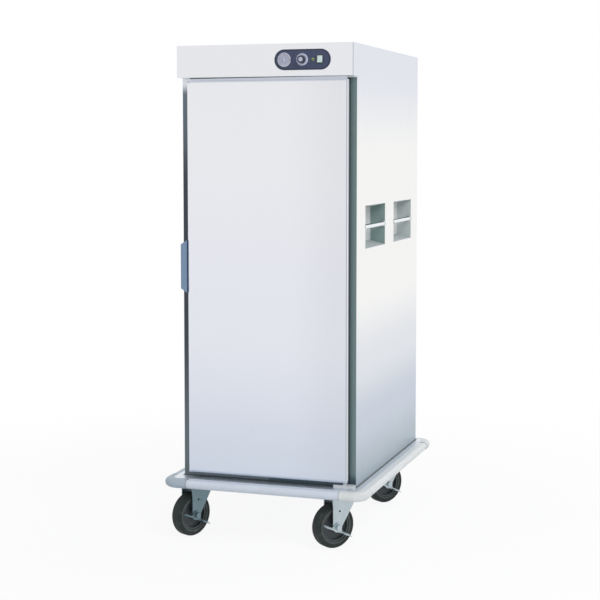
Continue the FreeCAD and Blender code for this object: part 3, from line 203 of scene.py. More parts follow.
class Graph:
    """A node tree, filled node by node."""

    def __init__(self, tree: bpy.types.NodeTree) -> None:
        """Start a tree from nothing."""
        self.tree = tree
        tree.nodes.clear()

    def node(
        self,
        kind: str,
        settings: Optional[dict[str, Setting]] = None,
        sockets: Optional[dict[Union[int, str], Socket]] = None,
    ) -> bpy.types.Node:
        """Add a node.

        Args:
            kind: The node's type.
            settings: Its properties, which are set first.
            sockets: Values or links of its inputs.

        Returns:
            The node.
        """
        made = self.tree.nodes.new(kind)
        for name, setting in (settings or {}).items():
            setattr(made, name, setting)
        for key, value in (sockets or {}).items():
            if isinstance(value, Shade):
                self.tree.links.new(value.socket, made.inputs[key])
            else:
                made.inputs[key].default_value = value
        return made

    def value(
        self,
        kind: str,
        settings: Optional[dict[str, Setting]] = None,
        sockets: Optional[dict[Union[int, str], Socket]] = None,
        output: Union[int, str] = 0,
    ) -> Shade:
        """Add a node and take one of its outputs.

        Args:
            kind: The node's type.
            settings: Its properties.
            sockets: Values or links of its inputs.
            output: Which output to take.

        Returns:
            That output.
        """
        return Shade(self, self.node(kind, settings, sockets).outputs[output])

    def place(self) -> Shade:
        """Object coordinates, which are metres in the cart's frame."""
        return self.value("ShaderNodeTexCoord", output="Object")

    def parts(self, vector: Shade) -> tuple[Shade, Shade, Shade]:
        """The x, y and z of a vector."""
        split = self.node("ShaderNodeSeparateXYZ", None, {0: vector})
        return tuple(Shade(self, split.outputs[k]) for k in range(3))

    def axes(self) -> tuple[Shade, Shade, Shade]:
        """The x, y and z of the object coordinates."""
        return self.parts(self.place())

    def noise(self, pattern: Pattern) -> Shade:
        """A pattern's noise, about one half unless it comes in patches.

        Args:
            pattern: What the noise is like.

        Returns:
            The noise.
        """
        stretched = {0: self.place(), 1: pattern.stretch}
        at = self.value("ShaderNodeVectorMath", {"operation": "MULTIPLY"}, stretched)
        features = {"Vector": at, "Scale": pattern.scale, "Detail": pattern.detail}
        found = self.value("ShaderNodeTexNoise", None, features, "Fac")
        return found.ease(*pattern.span) if pattern.span else found

    def distance(self, axis: Pair) -> Shade:
        """The distance from a front-to-back axis, given by its x and z."""
        x, _, z = self.axes()
        off_x, off_z = x - axis[0], z - axis[1]
        return (off_x * off_x + off_z * off_z).root()

    def mix(self, factor: Operand, first: Union[Shade, Color], second: Union[Shade, Color]) -> Shade:
        """Blend two colours.

        Args:
            factor: Share of the second colour.
            first: Colour at 0.
            second: Colour at 1.

        Returns:
            The blended colour.
        """
        ends = [end if isinstance(end, Shade) else (*end, 1.0) for end in (first, second)]
        return self.value("ShaderNodeMix", {"data_type": "RGBA"}, {0: factor, 6: ends[0], 7: ends[1]}, 2)

    def by_height(self, stops: Stops) -> Shade:
        """Colours that follow one another upwards.

        Args:
            stops: Height and colour at each change, the lowest first.

        Returns:
            The blended colour.
        """
        _, _, z = self.axes()
        color = stops[0][1]
        for (low, _), (high, after) in zip(stops, stops[1:]):
            color = self.mix(z.ease(low, high), color, after)
        return color

    def scaled(self, color: Union[Shade, Color], factor: Shade) -> Shade:
        """A colour made lighter or darker from place to place."""
        return self.value("ShaderNodeVectorMath", {"operation": "SCALE"}, {0: color, "Scale": factor})

    def bump(self, height: Shade, strength: float, depth: float) -> Shade:
        """A surface normal that follows a height.

        Args:
            height: The relief, from 0 to 1.
            strength: How strongly it shows.
            depth: How deep it is.

        Returns:
            The normal.
        """
        return self.value("ShaderNodeBump", None, {"Strength": strength, "Distance": depth, "Height": height})

    def principled(self, sockets: dict[Union[int, str], Socket]) -> Shade:
        """The one surface shader that all the finishes use."""
        return self.value("ShaderNodeBsdfPrincipled", None, sockets)

    def seen(self) -> Shade:
        """1 for camera, glossy and transmission rays, otherwise 0."""
        path = self.node("ShaderNodeLightPath")
        rays = ("Is Camera Ray", "Is Glossy Ray", "Is Transmission Ray")
        camera, glossy, through = (Shade(self, path.outputs[ray]) for ray in rays)
        return camera.or_(glossy).or_(through)


def tinted(color: Color, share: float) -> Color:
    """A colour made lighter or darker by a share."""
    return tuple(min(1.0, part * share) for part in color)


# Finishes


class Grain(Enum):
    """The way a sheet was brushed, as how densely its lines lie along each axis."""

    UPRIGHT = (1.0, 1.0, 0.012)
    LEVEL = (0.012, 1.0, 1.0)
    LENGTHWISE = (1.0, 0.012, 1.0)
    NONE = (1.0, 1.0, 1.0)


@dataclass(frozen=True)
class Finish:
    """What every finish has: a name, a main colour and a gloss."""

    name: str
    color: Color
    roughness: float

    def surface(self, graph: Graph) -> Shade:
        """The finish's shader.

        Args:
            graph: The material's nodes.

        Returns:
            The surface.
        """
        raise NotImplementedError

    def toned(self, graph: Graph, share: Shade, tones: Pair) -> Shade:
        """The main colour, from a first tone of it at 0 to a second at 1."""
        return graph.mix(share, *(tinted(self.color, tone) for tone in tones))

    def material(self) -> bpy.types.Material:
        """The finish as a material, made on first use."""
        made = bpy.data.materials.get(self.name)
        if made is None:
            made = bpy.data.materials.new(self.name)
            made.use_nodes = True
            graph = Graph(made.node_tree)
            graph.node("ShaderNodeOutputMaterial", None, {"Surface": self.surface(graph)})
        return made


@dataclass(frozen=True)
class BrushedSteel(Finish):
    """Stainless sheet with fine brush lines, a soft haze and wiped smears; stops paint shade and reflection
    into it by height.
    """

    grain: Grain = Grain.UPRIGHT
    streak: float = 0.05
    haze: float = 0.10
    # Painted shade and reflection by height: height and colour at each change.
    stops: Stops = ()
    lines: ClassVar[Pattern] = Pattern(900.0)
    veil: ClassVar[Pattern] = Pattern(1.7, 3.0)
    smears: ClassVar[Pattern] = Pattern(14.0, 4.0, (1.0, 1.0, 0.35), (0.56, 0.74))
    line_share: ClassVar[float] = 0.8
    line_gloss: ClassVar[float] = 0.12
    smear_gloss: ClassVar[float] = 0.04
    relief: ClassVar[Pair] = (0.10, 0.0002)

    def plain(self, graph: Graph) -> Union[Shade, Color]:
        """The sheet's colour, with any painted shade and reflection by height, before its lines and haze."""
        return graph.by_height(self.stops) if self.stops else self.color

    def surface(self, graph: Graph) -> Shade:
        """Lines and haze in colour, gloss and relief."""
        lines = graph.noise(replace(self.lines, stretch=self.grain.value))
        line, veil = lines - NOISE_MEAN, graph.noise(self.veil) - NOISE_MEAN
        smear = graph.noise(self.smears)
        color = graph.scaled(self.plain(graph), 1 + (line * self.line_share + veil) * self.streak)
        rough = self.roughness + line * self.line_gloss + veil * self.haze + smear * self.smear_gloss
        normal = graph.bump(lines, *self.relief)
        return graph.principled({"Base Color": color, "Roughness": rough, "Metallic": 1.0, "Normal": normal})


@dataclass(frozen=True)
class DoorSheet(BrushedSteel):
    """The door's sheet, with painted reflection by height and a little darker towards its hung edge."""

    # How much darker the colour grows towards the hung edge, and over which x.
    dull: float = 0.065
    dull_span: Pair = (0.06, 0.27)

    def plain(self, graph: Graph) -> Shade:
        """The colour by height with its painted reflection, darker across the sheet towards the hung edge."""
        x, _, _ = graph.axes()
        return graph.scaled(graph.by_height(self.stops), 1 - x.ease(*self.dull_span) * self.dull)


@dataclass(frozen=True)
class FaceFrame(BrushedSteel):
    """The frame round the opening: clean behind the door, with painted shade where the door leaves it showing
    in the gaps.
    """

    # Painted gap shade by height on the free side, lighter near the header.
    free_stops: Stops = ()
    bare_side: Pair = (0.270, 0.282)
    bare_foot: Pair = (0.222, 0.232)

    def plain(self, graph: Graph) -> Shade:
        """Clean steel, and painted gap shade on the edges by side and by height."""
        x, _, z = graph.axes()
        # Painted gap shade: colours by height for each side, laid on the strips beside the door and below it.
        edges = graph.mix(x > 0.0, graph.by_height(self.free_stops), graph.by_height(self.stops))
        gap_shade = (x * x).root().ease(*self.bare_side).or_(1 - z.ease(*self.bare_foot))
        return graph.mix(gap_shade, self.color, edges)


@dataclass(frozen=True)
class PressedDish(Finish):
    """A blasted steel dish: a bright floor along the sides, and darker, bluish drawn walls round it in
    painted shade.
    """

    # Painted shade colours: the front grip's end walls, the rear grip's lighter ones, and the sills.
    front_wall: Color = (0.24, 0.335, 0.325)
    rear_wall: Color = (0.53, 0.58, 0.58)
    sill: Color = (0.50, 0.55, 0.56)
    change: Pair = (0.0, 0.30)
    metal: float = 0.15
    lines: ClassVar[Pattern] = Pattern(700.0, stretch=Grain.LENGTHWISE.value)
    line_tone: ClassVar[Pair] = (0.96, 0.08)
    line_gloss: ClassVar[float] = 0.12
    relief: ClassVar[Pair] = (0.10, 0.0002)
    least_facing: ClassVar[float] = 0.5

    def surface(self, graph: Graph) -> Shade:
        """Floor, end walls and sills told apart by the way they face, the end walls and sills in painted
        shade.
        """
        across, _, up = graph.parts(graph.value("ShaderNodeNewGeometry", output="True Normal"))
        _, y, _ = graph.axes()
        # Painted shade: darker end walls, front to rear, and darker sills, by the way they face.
        wall = graph.mix(y.ease(*self.change), self.front_wall, self.rear_wall)
        sides = graph.mix(up * up > self.least_facing, wall, self.sill)
        whole = graph.mix(across * across > self.least_facing, sides, self.color)
        lines = graph.noise(self.lines)
        base, gain = self.line_tone
        return graph.principled({
            "Base Color": graph.scaled(whole, base + lines * gain),
            "Roughness": self.roughness + (lines - NOISE_MEAN) * self.line_gloss,
            "Metallic": self.metal,
            "Normal": graph.bump(lines, *self.relief),
        })


@dataclass(frozen=True)
class GripBar(BrushedSteel):
    """A polished bar, with a painted reflection of its dark pocket along its upper side."""

    # Colour and span of the painted reflection on the upper side.
    tarnish: Color = (0.10, 0.14, 0.15)
    tarnish_span: Pair = (0.50, 0.85)

    def plain(self, graph: Graph) -> Shade:
        """Bright steel that turns dark where it faces up, as a painted reflection."""
        _, _, up = graph.parts(graph.value("ShaderNodeNewGeometry", output="Normal"))
        return graph.mix(up.ease(*self.tarnish_span), self.color, self.tarnish)


@dataclass(frozen=True)
class ZincPlate(Finish):
    """Pressed steel under bright zinc: cloudy patches, tiny grains and a little grime in them."""

    clouds: ClassVar[Pattern] = Pattern(45.0, 4.0)
    specks: ClassVar[Pattern] = Pattern(700.0)
    grime: ClassVar[Pattern] = Pattern(22.0, 5.0, span=(0.58, 0.80))
    cloud_tones: ClassVar[Pair] = (0.86, 1.14)
    cloud_gloss: ClassVar[float] = 0.22
    grime_tone: ClassVar[float] = 0.42
    grime_share: ClassVar[float] = 0.4
    grime_gloss: ClassVar[float] = 0.15
    relief: ClassVar[Pair] = (0.12, 0.0003)

    def surface(self, graph: Graph) -> Shade:
        """Clouds in colour and gloss, grains in relief."""
        cloud, grime = graph.noise(self.clouds), graph.noise(self.grime)
        clean = self.toned(graph, cloud, self.cloud_tones)
        color = graph.mix(grime * self.grime_share, clean, tinted(self.color, self.grime_tone))
        rough = self.roughness + (cloud - NOISE_MEAN) * self.cloud_gloss + grime * self.grime_gloss
        normal = graph.bump(graph.noise(self.specks), *self.relief)
        return graph.principled({"Base Color": color, "Roughness": rough, "Metallic": 1.0, "Normal": normal})


@dataclass(frozen=True)
class MouldedPlastic(Finish):
    """Moulded plastic with a fine pebbled skin and faint scuffs."""

    pebble: float = 0.2
    scuff: float = 0.25
    coat: float = 0.0
    pebbles: ClassVar[Pattern] = Pattern(1500.0)
    shades: ClassVar[Pattern] = Pattern(18.0, 3.0)
    scuffs: ClassVar[Pattern] = Pattern(75.0, 5.0, (1.0, 1.0, 3.0), (0.60, 0.78))
    shade_tone: ClassVar[Pair] = (0.94, 0.12)
    scuff_tone: ClassVar[float] = 0.28
    pebble_gloss: ClassVar[float] = 0.12
    scuff_gloss: ClassVar[float] = 0.12
    pebble_depth: ClassVar[float] = 0.0002
    coat_roughness: ClassVar[float] = 0.12

    def plain(self, graph: Graph) -> Union[Shade, Color]:
        """The plastic's colour before its wear."""
        return self.color

    def surface(self, graph: Graph) -> Shade:
        """Pebbles in relief, scuffs in colour and gloss."""
        pebble, scuff = graph.noise(self.pebbles), graph.noise(self.scuffs)
        base, gain = self.shade_tone
        worn = 1 - scuff * (self.scuff_tone * self.scuff)
        rough = self.roughness + (pebble - NOISE_MEAN) * self.pebble_gloss + scuff * self.scuff_gloss
        return graph.principled({
            "Base Color": graph.scaled(self.plain(graph), (base + graph.noise(self.shades) * gain) * worn),
            "Roughness": rough,
            "Normal": graph.bump(pebble, self.pebble, self.pebble_depth),
            "Coat Weight": self.coat,
            "Coat Roughness": self.coat_roughness,
        })


@dataclass(frozen=True)
class BumperPlastic(MouldedPlastic):
    """Bumper plastic with painted light and shade: darker on the cart's left, lighter towards its hung side.
    """

    # Colour and span of the painted light towards the hung side.
    bleached: Color = (0.76, 0.79, 0.80)
    bleach_span: Pair = (0.29, 0.34)

    def plain(self, graph: Graph) -> Shade:
        """The colour by distance across the cart, lighter towards the hung side as painted light."""
        x, _, _ = graph.axes()
        return graph.mix(x.ease(*self.bleach_span), self.color, self.bleached)


@dataclass(frozen=True)
class Rubber(Finish):
    """Solid rubber with a dull bloom and floor dust on it."""

    dust: float = 0.3
    dust_color: Color = (0.20, 0.21, 0.21)
    grains: ClassVar[Pattern] = Pattern(1100.0, 3.0)
    dusting: ClassVar[Pattern] = Pattern(38.0, 5.0, span=(0.50, 0.78))
    bloom: ClassVar[Pattern] = Pattern(9.0)
    bloom_tones: ClassVar[Pair] = (0.85, 1.2)
    grain_gloss: ClassVar[float] = 0.14
    dust_gloss: ClassVar[float] = 0.08
    relief: ClassVar[Pair] = (0.25, 0.0003)

    def surface(self, graph: Graph) -> Shade:
        """Dust in colour, a fine grain in relief."""
        grain, dust = graph.noise(self.grains), graph.noise(self.dusting)
        base = self.toned(graph, graph.noise(self.bloom), self.bloom_tones)
        color = graph.mix(dust * self.dust, base, self.dust_color)
        rough = self.roughness + (grain - NOISE_MEAN) * self.grain_gloss + dust * self.dust_gloss
        normal = graph.bump(grain, *self.relief)
        return graph.principled({"Base Color": color, "Roughness": rough, "Normal": normal})


@dataclass(frozen=True)
class TurnedKnob(Finish):
    """A knob in two tones: a pale skirt and cap, and a dark grip between them."""

    pale: Color = (0.52, 0.54, 0.70)
    axis: Pair = (0.0, 0.0)
    skirt_level: float = 0.0
    cap_level: float = 0.0
    cap_radius: float = 0.0072
    grains: ClassVar[Pattern] = Pattern(1600.0)
    wear: ClassVar[Pattern] = Pattern(120.0, 3.0)
    wear_tones: ClassVar[Pair] = (0.85, 1.15)
    wear_gloss: ClassVar[float] = 0.12
    relief: ClassVar[Pair] = (0.12, 0.0001)

    def surface(self, graph: Graph) -> Shade:
        """Tones by distance along and from the knob's axis."""
        _, y, _ = graph.axes()
        cap = (y < self.cap_level) * (graph.distance(self.axis) < self.cap_radius)
        wear = graph.noise(self.wear)
        dark = self.toned(graph, wear, self.wear_tones)
        color = graph.mix(cap.or_(y > self.skirt_level), dark, self.pale)
        rough = self.roughness + (wear - NOISE_MEAN) * self.wear_gloss
        normal = graph.bump(graph.noise(self.grains), *self.relief)
        return graph.principled({"Base Color": color, "Roughness": rough, "Normal": normal})


@dataclass(frozen=True)
class Glass(Finish):
    """A clear cover, slightly smudged."""

    alpha: float = 0.14
    smudges: ClassVar[Pattern] = Pattern(90.0, 3.0, span=(0.45, 0.75))
    smudge_gloss: ClassVar[float] = 0.08

    def surface(self, graph: Graph) -> Shade:
        """Smudges in the gloss of a thin clear sheet."""
        rough = self.roughness + graph.noise(self.smudges) * self.smudge_gloss
        return graph.principled({"Base Color": (*self.color, 1.0), "Roughness": rough, "Alpha": self.alpha})


@dataclass(frozen=True)
class LitPlastic(Finish):
    """Translucent plastic with a small light behind it."""

    glow: float = 0.25
    patches: ClassVar[Pattern] = Pattern(60.0)
    patch_tones: ClassVar[Pair] = (0.8, 1.1)
    patch_gloss: ClassVar[float] = 0.06
    coat: ClassVar[float] = 0.4

    def surface(self, graph: Graph) -> Shade:
        """A glow that thins out in patches."""
        patch = graph.noise(self.patches)
        light = self.toned(graph, patch, self.patch_tones)
        return graph.principled({
            "Base Color": light,
            "Roughness": self.roughness + (patch - NOISE_MEAN) * self.patch_gloss,
            "Coat Weight": self.coat,
            "Emission Color": light,
            "Emission Strength": self.glow,
        })


@dataclass(frozen=True)
class Foam(Finish):
    """Open-celled insulating foam."""

    cell_scale: ClassVar[float] = 420.0
    cell_tones: ClassVar[Pair] = (1.05, 0.6)
    relief: ClassVar[Pair] = (0.5, 0.001)

    def surface(self, graph: Graph) -> Shade:
        """Cells in colour and relief."""
        packing = {"Vector": graph.place(), "Scale": self.cell_scale}
        cells = graph.value("ShaderNodeTexVoronoi", None, packing, "Distance")
        color = self.toned(graph, cells, self.cell_tones)
        normal = graph.bump(cells, *self.relief)
        return graph.principled({"Base Color": color, "Roughness": self.roughness, "Normal": normal})


@dataclass(frozen=True)
class ScorchedTube(Finish):
    """A heater's sheath: dull metal blued in bands by heat."""

    blued: Color = (0.12, 0.12, 0.16)
    bands: ClassVar[Pattern] = Pattern(26.0, 4.0, span=(0.35, 0.70))
    band_gloss: ClassVar[float] = 0.15
    metal: ClassVar[float] = 0.9

    def surface(self, graph: Graph) -> Shade:
        """Heat bands in colour and gloss."""
        band = graph.noise(self.bands)
        color = graph.mix(band, self.color, self.blued)
        rough = self.roughness + band * self.band_gloss
        return graph.principled({"Base Color": color, "Roughness": rough, "Metallic": self.metal})


@dataclass(frozen=True)
class Ink(Finish):
    """Printed marks, a little uneven."""

    cover: ClassVar[Pattern] = Pattern(500.0)
    cover_tones: ClassVar[Pair] = (0.85, 1.15)

    def surface(self, graph: Graph) -> Shade:
        """Thin and full ink in patches."""
        color = self.toned(graph, graph.noise(self.cover), self.cover_tones)
        return graph.principled({"Base Color": color, "Roughness": self.roughness})


@dataclass(frozen=True)
class SpunDial(Finish):
    """A dial card with a circular sheen and a paler ring."""

    ring: Color = (0.50, 0.50, 0.66)
    axis: Pair = (0.0, 0.0)
    radius: float = 0.0165
    ring_width: ClassVar[float] = 0.0012
    circles: ClassVar[float] = 2200.0
    circle_gloss: ClassVar[float] = 0.08

    def surface(self, graph: Graph) -> Shade:
        """Fine circles about the dial's axis and one paler ring."""
        away = graph.distance(self.axis)
        low, high = self.radius - self.ring_width, self.radius + self.ring_width
        ring = away.ease(low, self.radius) * (1 - away.ease(self.radius, high))
        turns = graph.value("ShaderNodeMath", {"operation": "FRACT"}, {0: away * self.circles})
        rough = self.roughness + turns * self.circle_gloss
        return graph.principled({"Base Color": graph.mix(ring, self.color, self.ring), "Roughness": rough})


# Painted reflection: the door's steel turns darker and bluer towards the bottom.
DOOR_STEEL = DoorSheet("door_stainless", (0.80, 0.81, 0.86), 0.36, stops=(
    (0.20, (0.635, 0.69, 0.785)), (0.75, (0.80, 0.815, 0.88)), (1.30, (0.84, 0.845, 0.88)),
))
# Painted light and reflection: the side and back sheets are a lighter copy of the door's steel, near white in
# the middle, dark and bluish towards the bottom and bluer at the top.
SIDE_STEEL = BrushedSteel("side_stainless", (0.94, 0.94, 0.93), 0.36, stops=(
    (0.20, (0.40, 0.475, 0.535)), (0.42, (0.57, 0.63, 0.725)), (0.62, (0.77, 0.795, 0.84)),
    (0.85, (0.945, 0.945, 0.935)), (1.30, (0.945, 0.945, 0.935)), (1.62, (0.78, 0.805, 0.87)),
))
STEEL_LEVEL = BrushedSteel("brushed_stainless_level", (0.82, 0.83, 0.86), 0.36, Grain.LEVEL)
STEEL_TOP = BrushedSteel("brushed_stainless_lengthwise", (0.80, 0.82, 0.85), 0.38, Grain.LENGTHWISE)
# Painted shade: where the frame shows beside and under the door it is dark, for the gaps' shadow; dark teal
# on the hung side, darkest at the foot, dark slate on the free side, lighter towards the header.
FRAME_STEEL = FaceFrame("face_frame_steel", (0.62, 0.65, 0.68), 0.44, stops=(
    (0.225, (0.06, 0.09, 0.11)), (0.26, (0.18, 0.245, 0.25)),
), free_stops=(
    (0.30, (0.13, 0.16, 0.175)), (0.75, (0.06, 0.07, 0.085)), (1.20, (0.06, 0.07, 0.085)),
    (1.45, (0.13, 0.155, 0.19)), (1.52, (0.15, 0.18, 0.215)), (1.562, (0.74, 0.77, 0.82)),
))
# Painted shade: the grip pockets' walls and sills are darkened by the way they face.
POCKET_STEEL = PressedDish("pocket_stainless", (0.93, 0.94, 0.94), 0.45)
# A dark blue-grey steel for the door pull.
PULL_STEEL = BrushedSteel("pull_blue_grey_steel", (0.20, 0.28, 0.40), 0.34)
# Painted shade: a dark steel for the thin line along the front of the door's hung rim.
EDGE_SHADE_STEEL = BrushedSteel("door_edge_painted_shade", (0.48, 0.51, 0.57), 0.40)
LIP_STEEL = BrushedSteel("header_lip_steel", (0.62, 0.66, 0.74), 0.42, Grain.LEVEL)
# Painted reflection: the grip bars darken where they face up, mirroring the dark pocket above.
BAR_STEEL = GripBar("bar_stainless", (0.88, 0.90, 0.92), 0.26, Grain.LENGTHWISE, haze=0.05)
LINER_STEEL = BrushedSteel("lining_stainless", (0.70, 0.72, 0.75), 0.42, Grain.UPRIGHT, 0.06, 0.14)
RACK_STEEL = BrushedSteel("rack_stainless", (0.74, 0.76, 0.78), 0.34, Grain.LENGTHWISE)
DECK_STEEL = BrushedSteel("deck_stainless", (0.78, 0.82, 0.87), 0.42, Grain.LEVEL, 0.07, 0.14)
ZINC = ZincPlate("bright_zinc", (0.50, 0.57, 0.61), 0.40)
# Painted shade: a darker copy of the zinc for the casters on the cart's free left side.
SHADE_SIDE_ZINC = ZincPlate("zinc_painted_shade", (0.205, 0.285, 0.32), 0.46)
# Painted shade: the swivel plates are near black for the shadow under the deck.
CASTER_PLATE_SHADE = ZincPlate("caster_plate_painted_shade", (0.13, 0.16, 0.16), 0.46)
BRACKET = MouldedPlastic("bracket_enamel", (0.62, 0.66, 0.70), 0.40, 0.08, 0.3, 0.1)
SCREW_STEEL = ZincPlate("screw_steel", (0.66, 0.68, 0.70), 0.30)
# Painted light and shade: the bumper is darker and bluish on the cart's left, lighter towards its hung right
# side.
BUMPER_RAIL = BumperPlastic("bumper_rail_grey", (0.67, 0.735, 0.83), 0.42, 0.15, 0.2, 0.15)
BUMPER_CORNER = BumperPlastic(
    "bumper_corner_grey", (0.42, 0.50, 0.58), 0.46, 0.2, 0.25, 0.0, (0.74, 0.77, 0.78), (-0.2, 0.2),
)
WHEEL_PLASTIC = MouldedPlastic("wheel_core_black", (0.055, 0.065, 0.07), 0.5, 0.25, 0.3)
TYRE = Rubber("tyre_rubber_black", (0.013, 0.020, 0.020), 0.74, 0.16)
# A paler rubber for the raised rings on the tyre's sides.
TYRE_RING = Rubber("tyre_ring_pale", (0.070, 0.085, 0.080), 0.66, 0.4)
SEAL = Rubber("door_seal_rubber", (0.06, 0.07, 0.075), 0.66, 0.1)
# Dark grey sealant for real seams and joints, also used for the beads of painted shade at the cabinet's foot
# and under the header.
SEALANT_AND_SHADE = Rubber("grey_sealant_and_painted_shade", (0.10, 0.12, 0.13), 0.6, 0.35, (0.30, 0.32, 0.33))
FOAM = Foam("insulating_foam", (0.80, 0.72, 0.48), 0.9)
PLATE_BLUE = MouldedPlastic("control_plate_blue", (0.036, 0.050, 0.110), 0.42, 0.08, 0.1, 0.1)
PLATE_EDGE = Ink("plate_edge_dark", (0.012, 0.017, 0.035), 0.5)
BEZEL = BrushedSteel("dial_bezel_metal", (0.62, 0.62, 0.70), 0.28, Grain.NONE)
DIAL_CARD = SpunDial("dial_card_lavender", (0.31, 0.33, 0.52), 0.5)
LENS = Glass("dial_glass", (0.92, 0.95, 0.97), 0.06)
NEEDLE = Ink("needle_black", (0.03, 0.03, 0.04), 0.4)
DIAL_INK = Ink("dial_print_dark", (0.12, 0.12, 0.20), 0.6)
CAP_WHITE = Ink("needle_cap_white", (0.78, 0.78, 0.84), 0.4)
PLATE_INK = Ink("plate_print_pale", (0.28, 0.30, 0.38), 0.6)
ROCKER_INK = Ink("rocker_print_grey", (0.36, 0.46, 0.44), 0.6)
KNOB = TurnedKnob("thermostat_knob_two_tone", (0.035, 0.04, 0.06), 0.42)
LAMP = LitPlastic("pilot_lamp_green", (0.20, 0.26, 0.09), 0.22, 0.08)
ROCKER = LitPlastic("rocker_pale_green", (0.58, 0.72, 0.70), 0.30, 0.12)
SWITCH = MouldedPlastic("switch_black", (0.025, 0.03, 0.04), 0.34, 0.06, 0.1, 0.2)
BAKELITE = MouldedPlastic("thermostat_case", (0.60, 0.57, 0.48), 0.55)
MOTOR = MouldedPlastic("motor_enamel", (0.13, 0.14, 0.15), 0.45, 0.1, 0.2, 0.3)
HEATER = ScorchedTube("heater_sheath", (0.34, 0.31, 0.28), 0.42)
INLET = MouldedPlastic("inlet_black", (0.03, 0.03, 0.034), 0.5, 0.15, 0.1)
BRASS = ZincPlate("pin_brass", (0.72, 0.56, 0.28), 0.28)


# Frame and shapes


@dataclass(frozen=True)
class Span:
    """A node's box at rest."""

    low: Vector
    high: Vector

    @property
    def middle(self) -> Vector:
        """The box's centre."""
        return (self.low + self.high) / 2


@dataclass
class Flat:
    """Faces of a node that look the same way."""

    normal: Vector
    points: list[Vector]
    area: float = 0.0

    def reach(self, way: Vector, points: Optional[Sequence[Vector]] = None) -> Pair:
        """The least and the largest distance along a way."""
        along = [point.dot(way) for point in points or self.points]
        return min(along), max(along)


class Cart:
    """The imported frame: its nodes, their boxes and its joints."""

    def __init__(self) -> None:
        """Load the frame and keep its box as it came."""
        self.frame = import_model()
        self.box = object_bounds()

    def points(self, node: str) -> list[Vector]:
        """A node's vertices."""
        return [vertex.co for vertex in self.frame["nodes"][node].data.vertices]

    def span(self, node: str) -> Span:
        """A node's box."""
        return Span(*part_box(node))

    def joint(self, name: str) -> tuple[Vector, Vector]:
        """A joint's place and axis."""
        found = next(joint for joint in self.frame["joints"] if joint["name"] == name)
        return Vector(found["pos_m"]), Vector(found["axis"])

    def dress(self, finish: Finish, *nodes: str, edge: float = 0.0) -> None:
        """Give nodes a finish.

        Args:
            finish: Their material.
            nodes: Their names.
            edge: Width to which sharp edges are eased, 0 for none.
        """
        for name in nodes:
            node = self.frame["nodes"][name]
            node.material_slots[0].material = finish.material()
            if edge:
                soften(node, edge)
            LOG.info("%s: %s", name, finish.name)

    def flats(self, node: str, toward: Vector, least: float = 0.8) -> list[Flat]:
        """A node's flat faces that look one way.

        Args:
            node: Its name.
            toward: The way that they face.
            least: Least cosine between that way and a face's normal.

        Returns:
            The faces, the widest first.
        """
        found: dict[tuple, Flat] = {}
        mesh = self.frame["nodes"][node].data
        for face in mesh.polygons:
            if face.normal.dot(toward) > least:
                key = tuple(round(part, NORMAL_DIGITS) for part in face.normal)
                flat = found.setdefault(key, Flat(face.normal.copy(), []))
                flat.points.extend(mesh.vertices[k].co.copy() for k in face.vertices)
                flat.area += face.area
        return sorted(found.values(), key=lambda flat: -flat.area)


def soften(node: bpy.types.Object, width: float) -> None:
    """Ease a solid's sharp edges, so that they catch the light.

    Args:
        node: The solid.
        width: Width of the easing.
    """
    weld = node.modifiers.new("joined", "WELD")
    weld.merge_threshold = WELD_DISTANCE
    bevel = node.modifiers.new("eased", "BEVEL")
    bevel.width = width
    bevel.segments = EASE_STEPS
    bevel.limit_method = "ANGLE"
    bevel.angle_limit = EASE_ANGLE
    bevel.use_clamp_overlap = True
    bevel.harden_normals = False
    smooth = node.modifiers.new("smoothed", "WEIGHTED_NORMAL")
    smooth.keep_sharp = False


def facing(point: Vector, normal: Vector, up: Vector = UP) -> Matrix:
    """A local frame on a surface.

    Args:
        point: Its origin.
        normal: Its Z axis.
        up: The way that its Y axis goes as nearly as it can.

    Returns:
        The frame.
    """
    out = normal.normalized()
    right = up.cross(out).normalized()
    return Matrix.Translation(point) @ Matrix((right, out.cross(right), out)).transposed().to_4x4()


def turned_by(angle: float) -> Matrix:
    """A turn about the local Z axis."""
    return Matrix.Rotation(angle, 4, "Z")


def arc(first: float, last: float, steps: int) -> list[float]:
    """Angles in even steps from first to last, both included."""
    return [first + (last - first) * k / steps for k in range(steps + 1)]


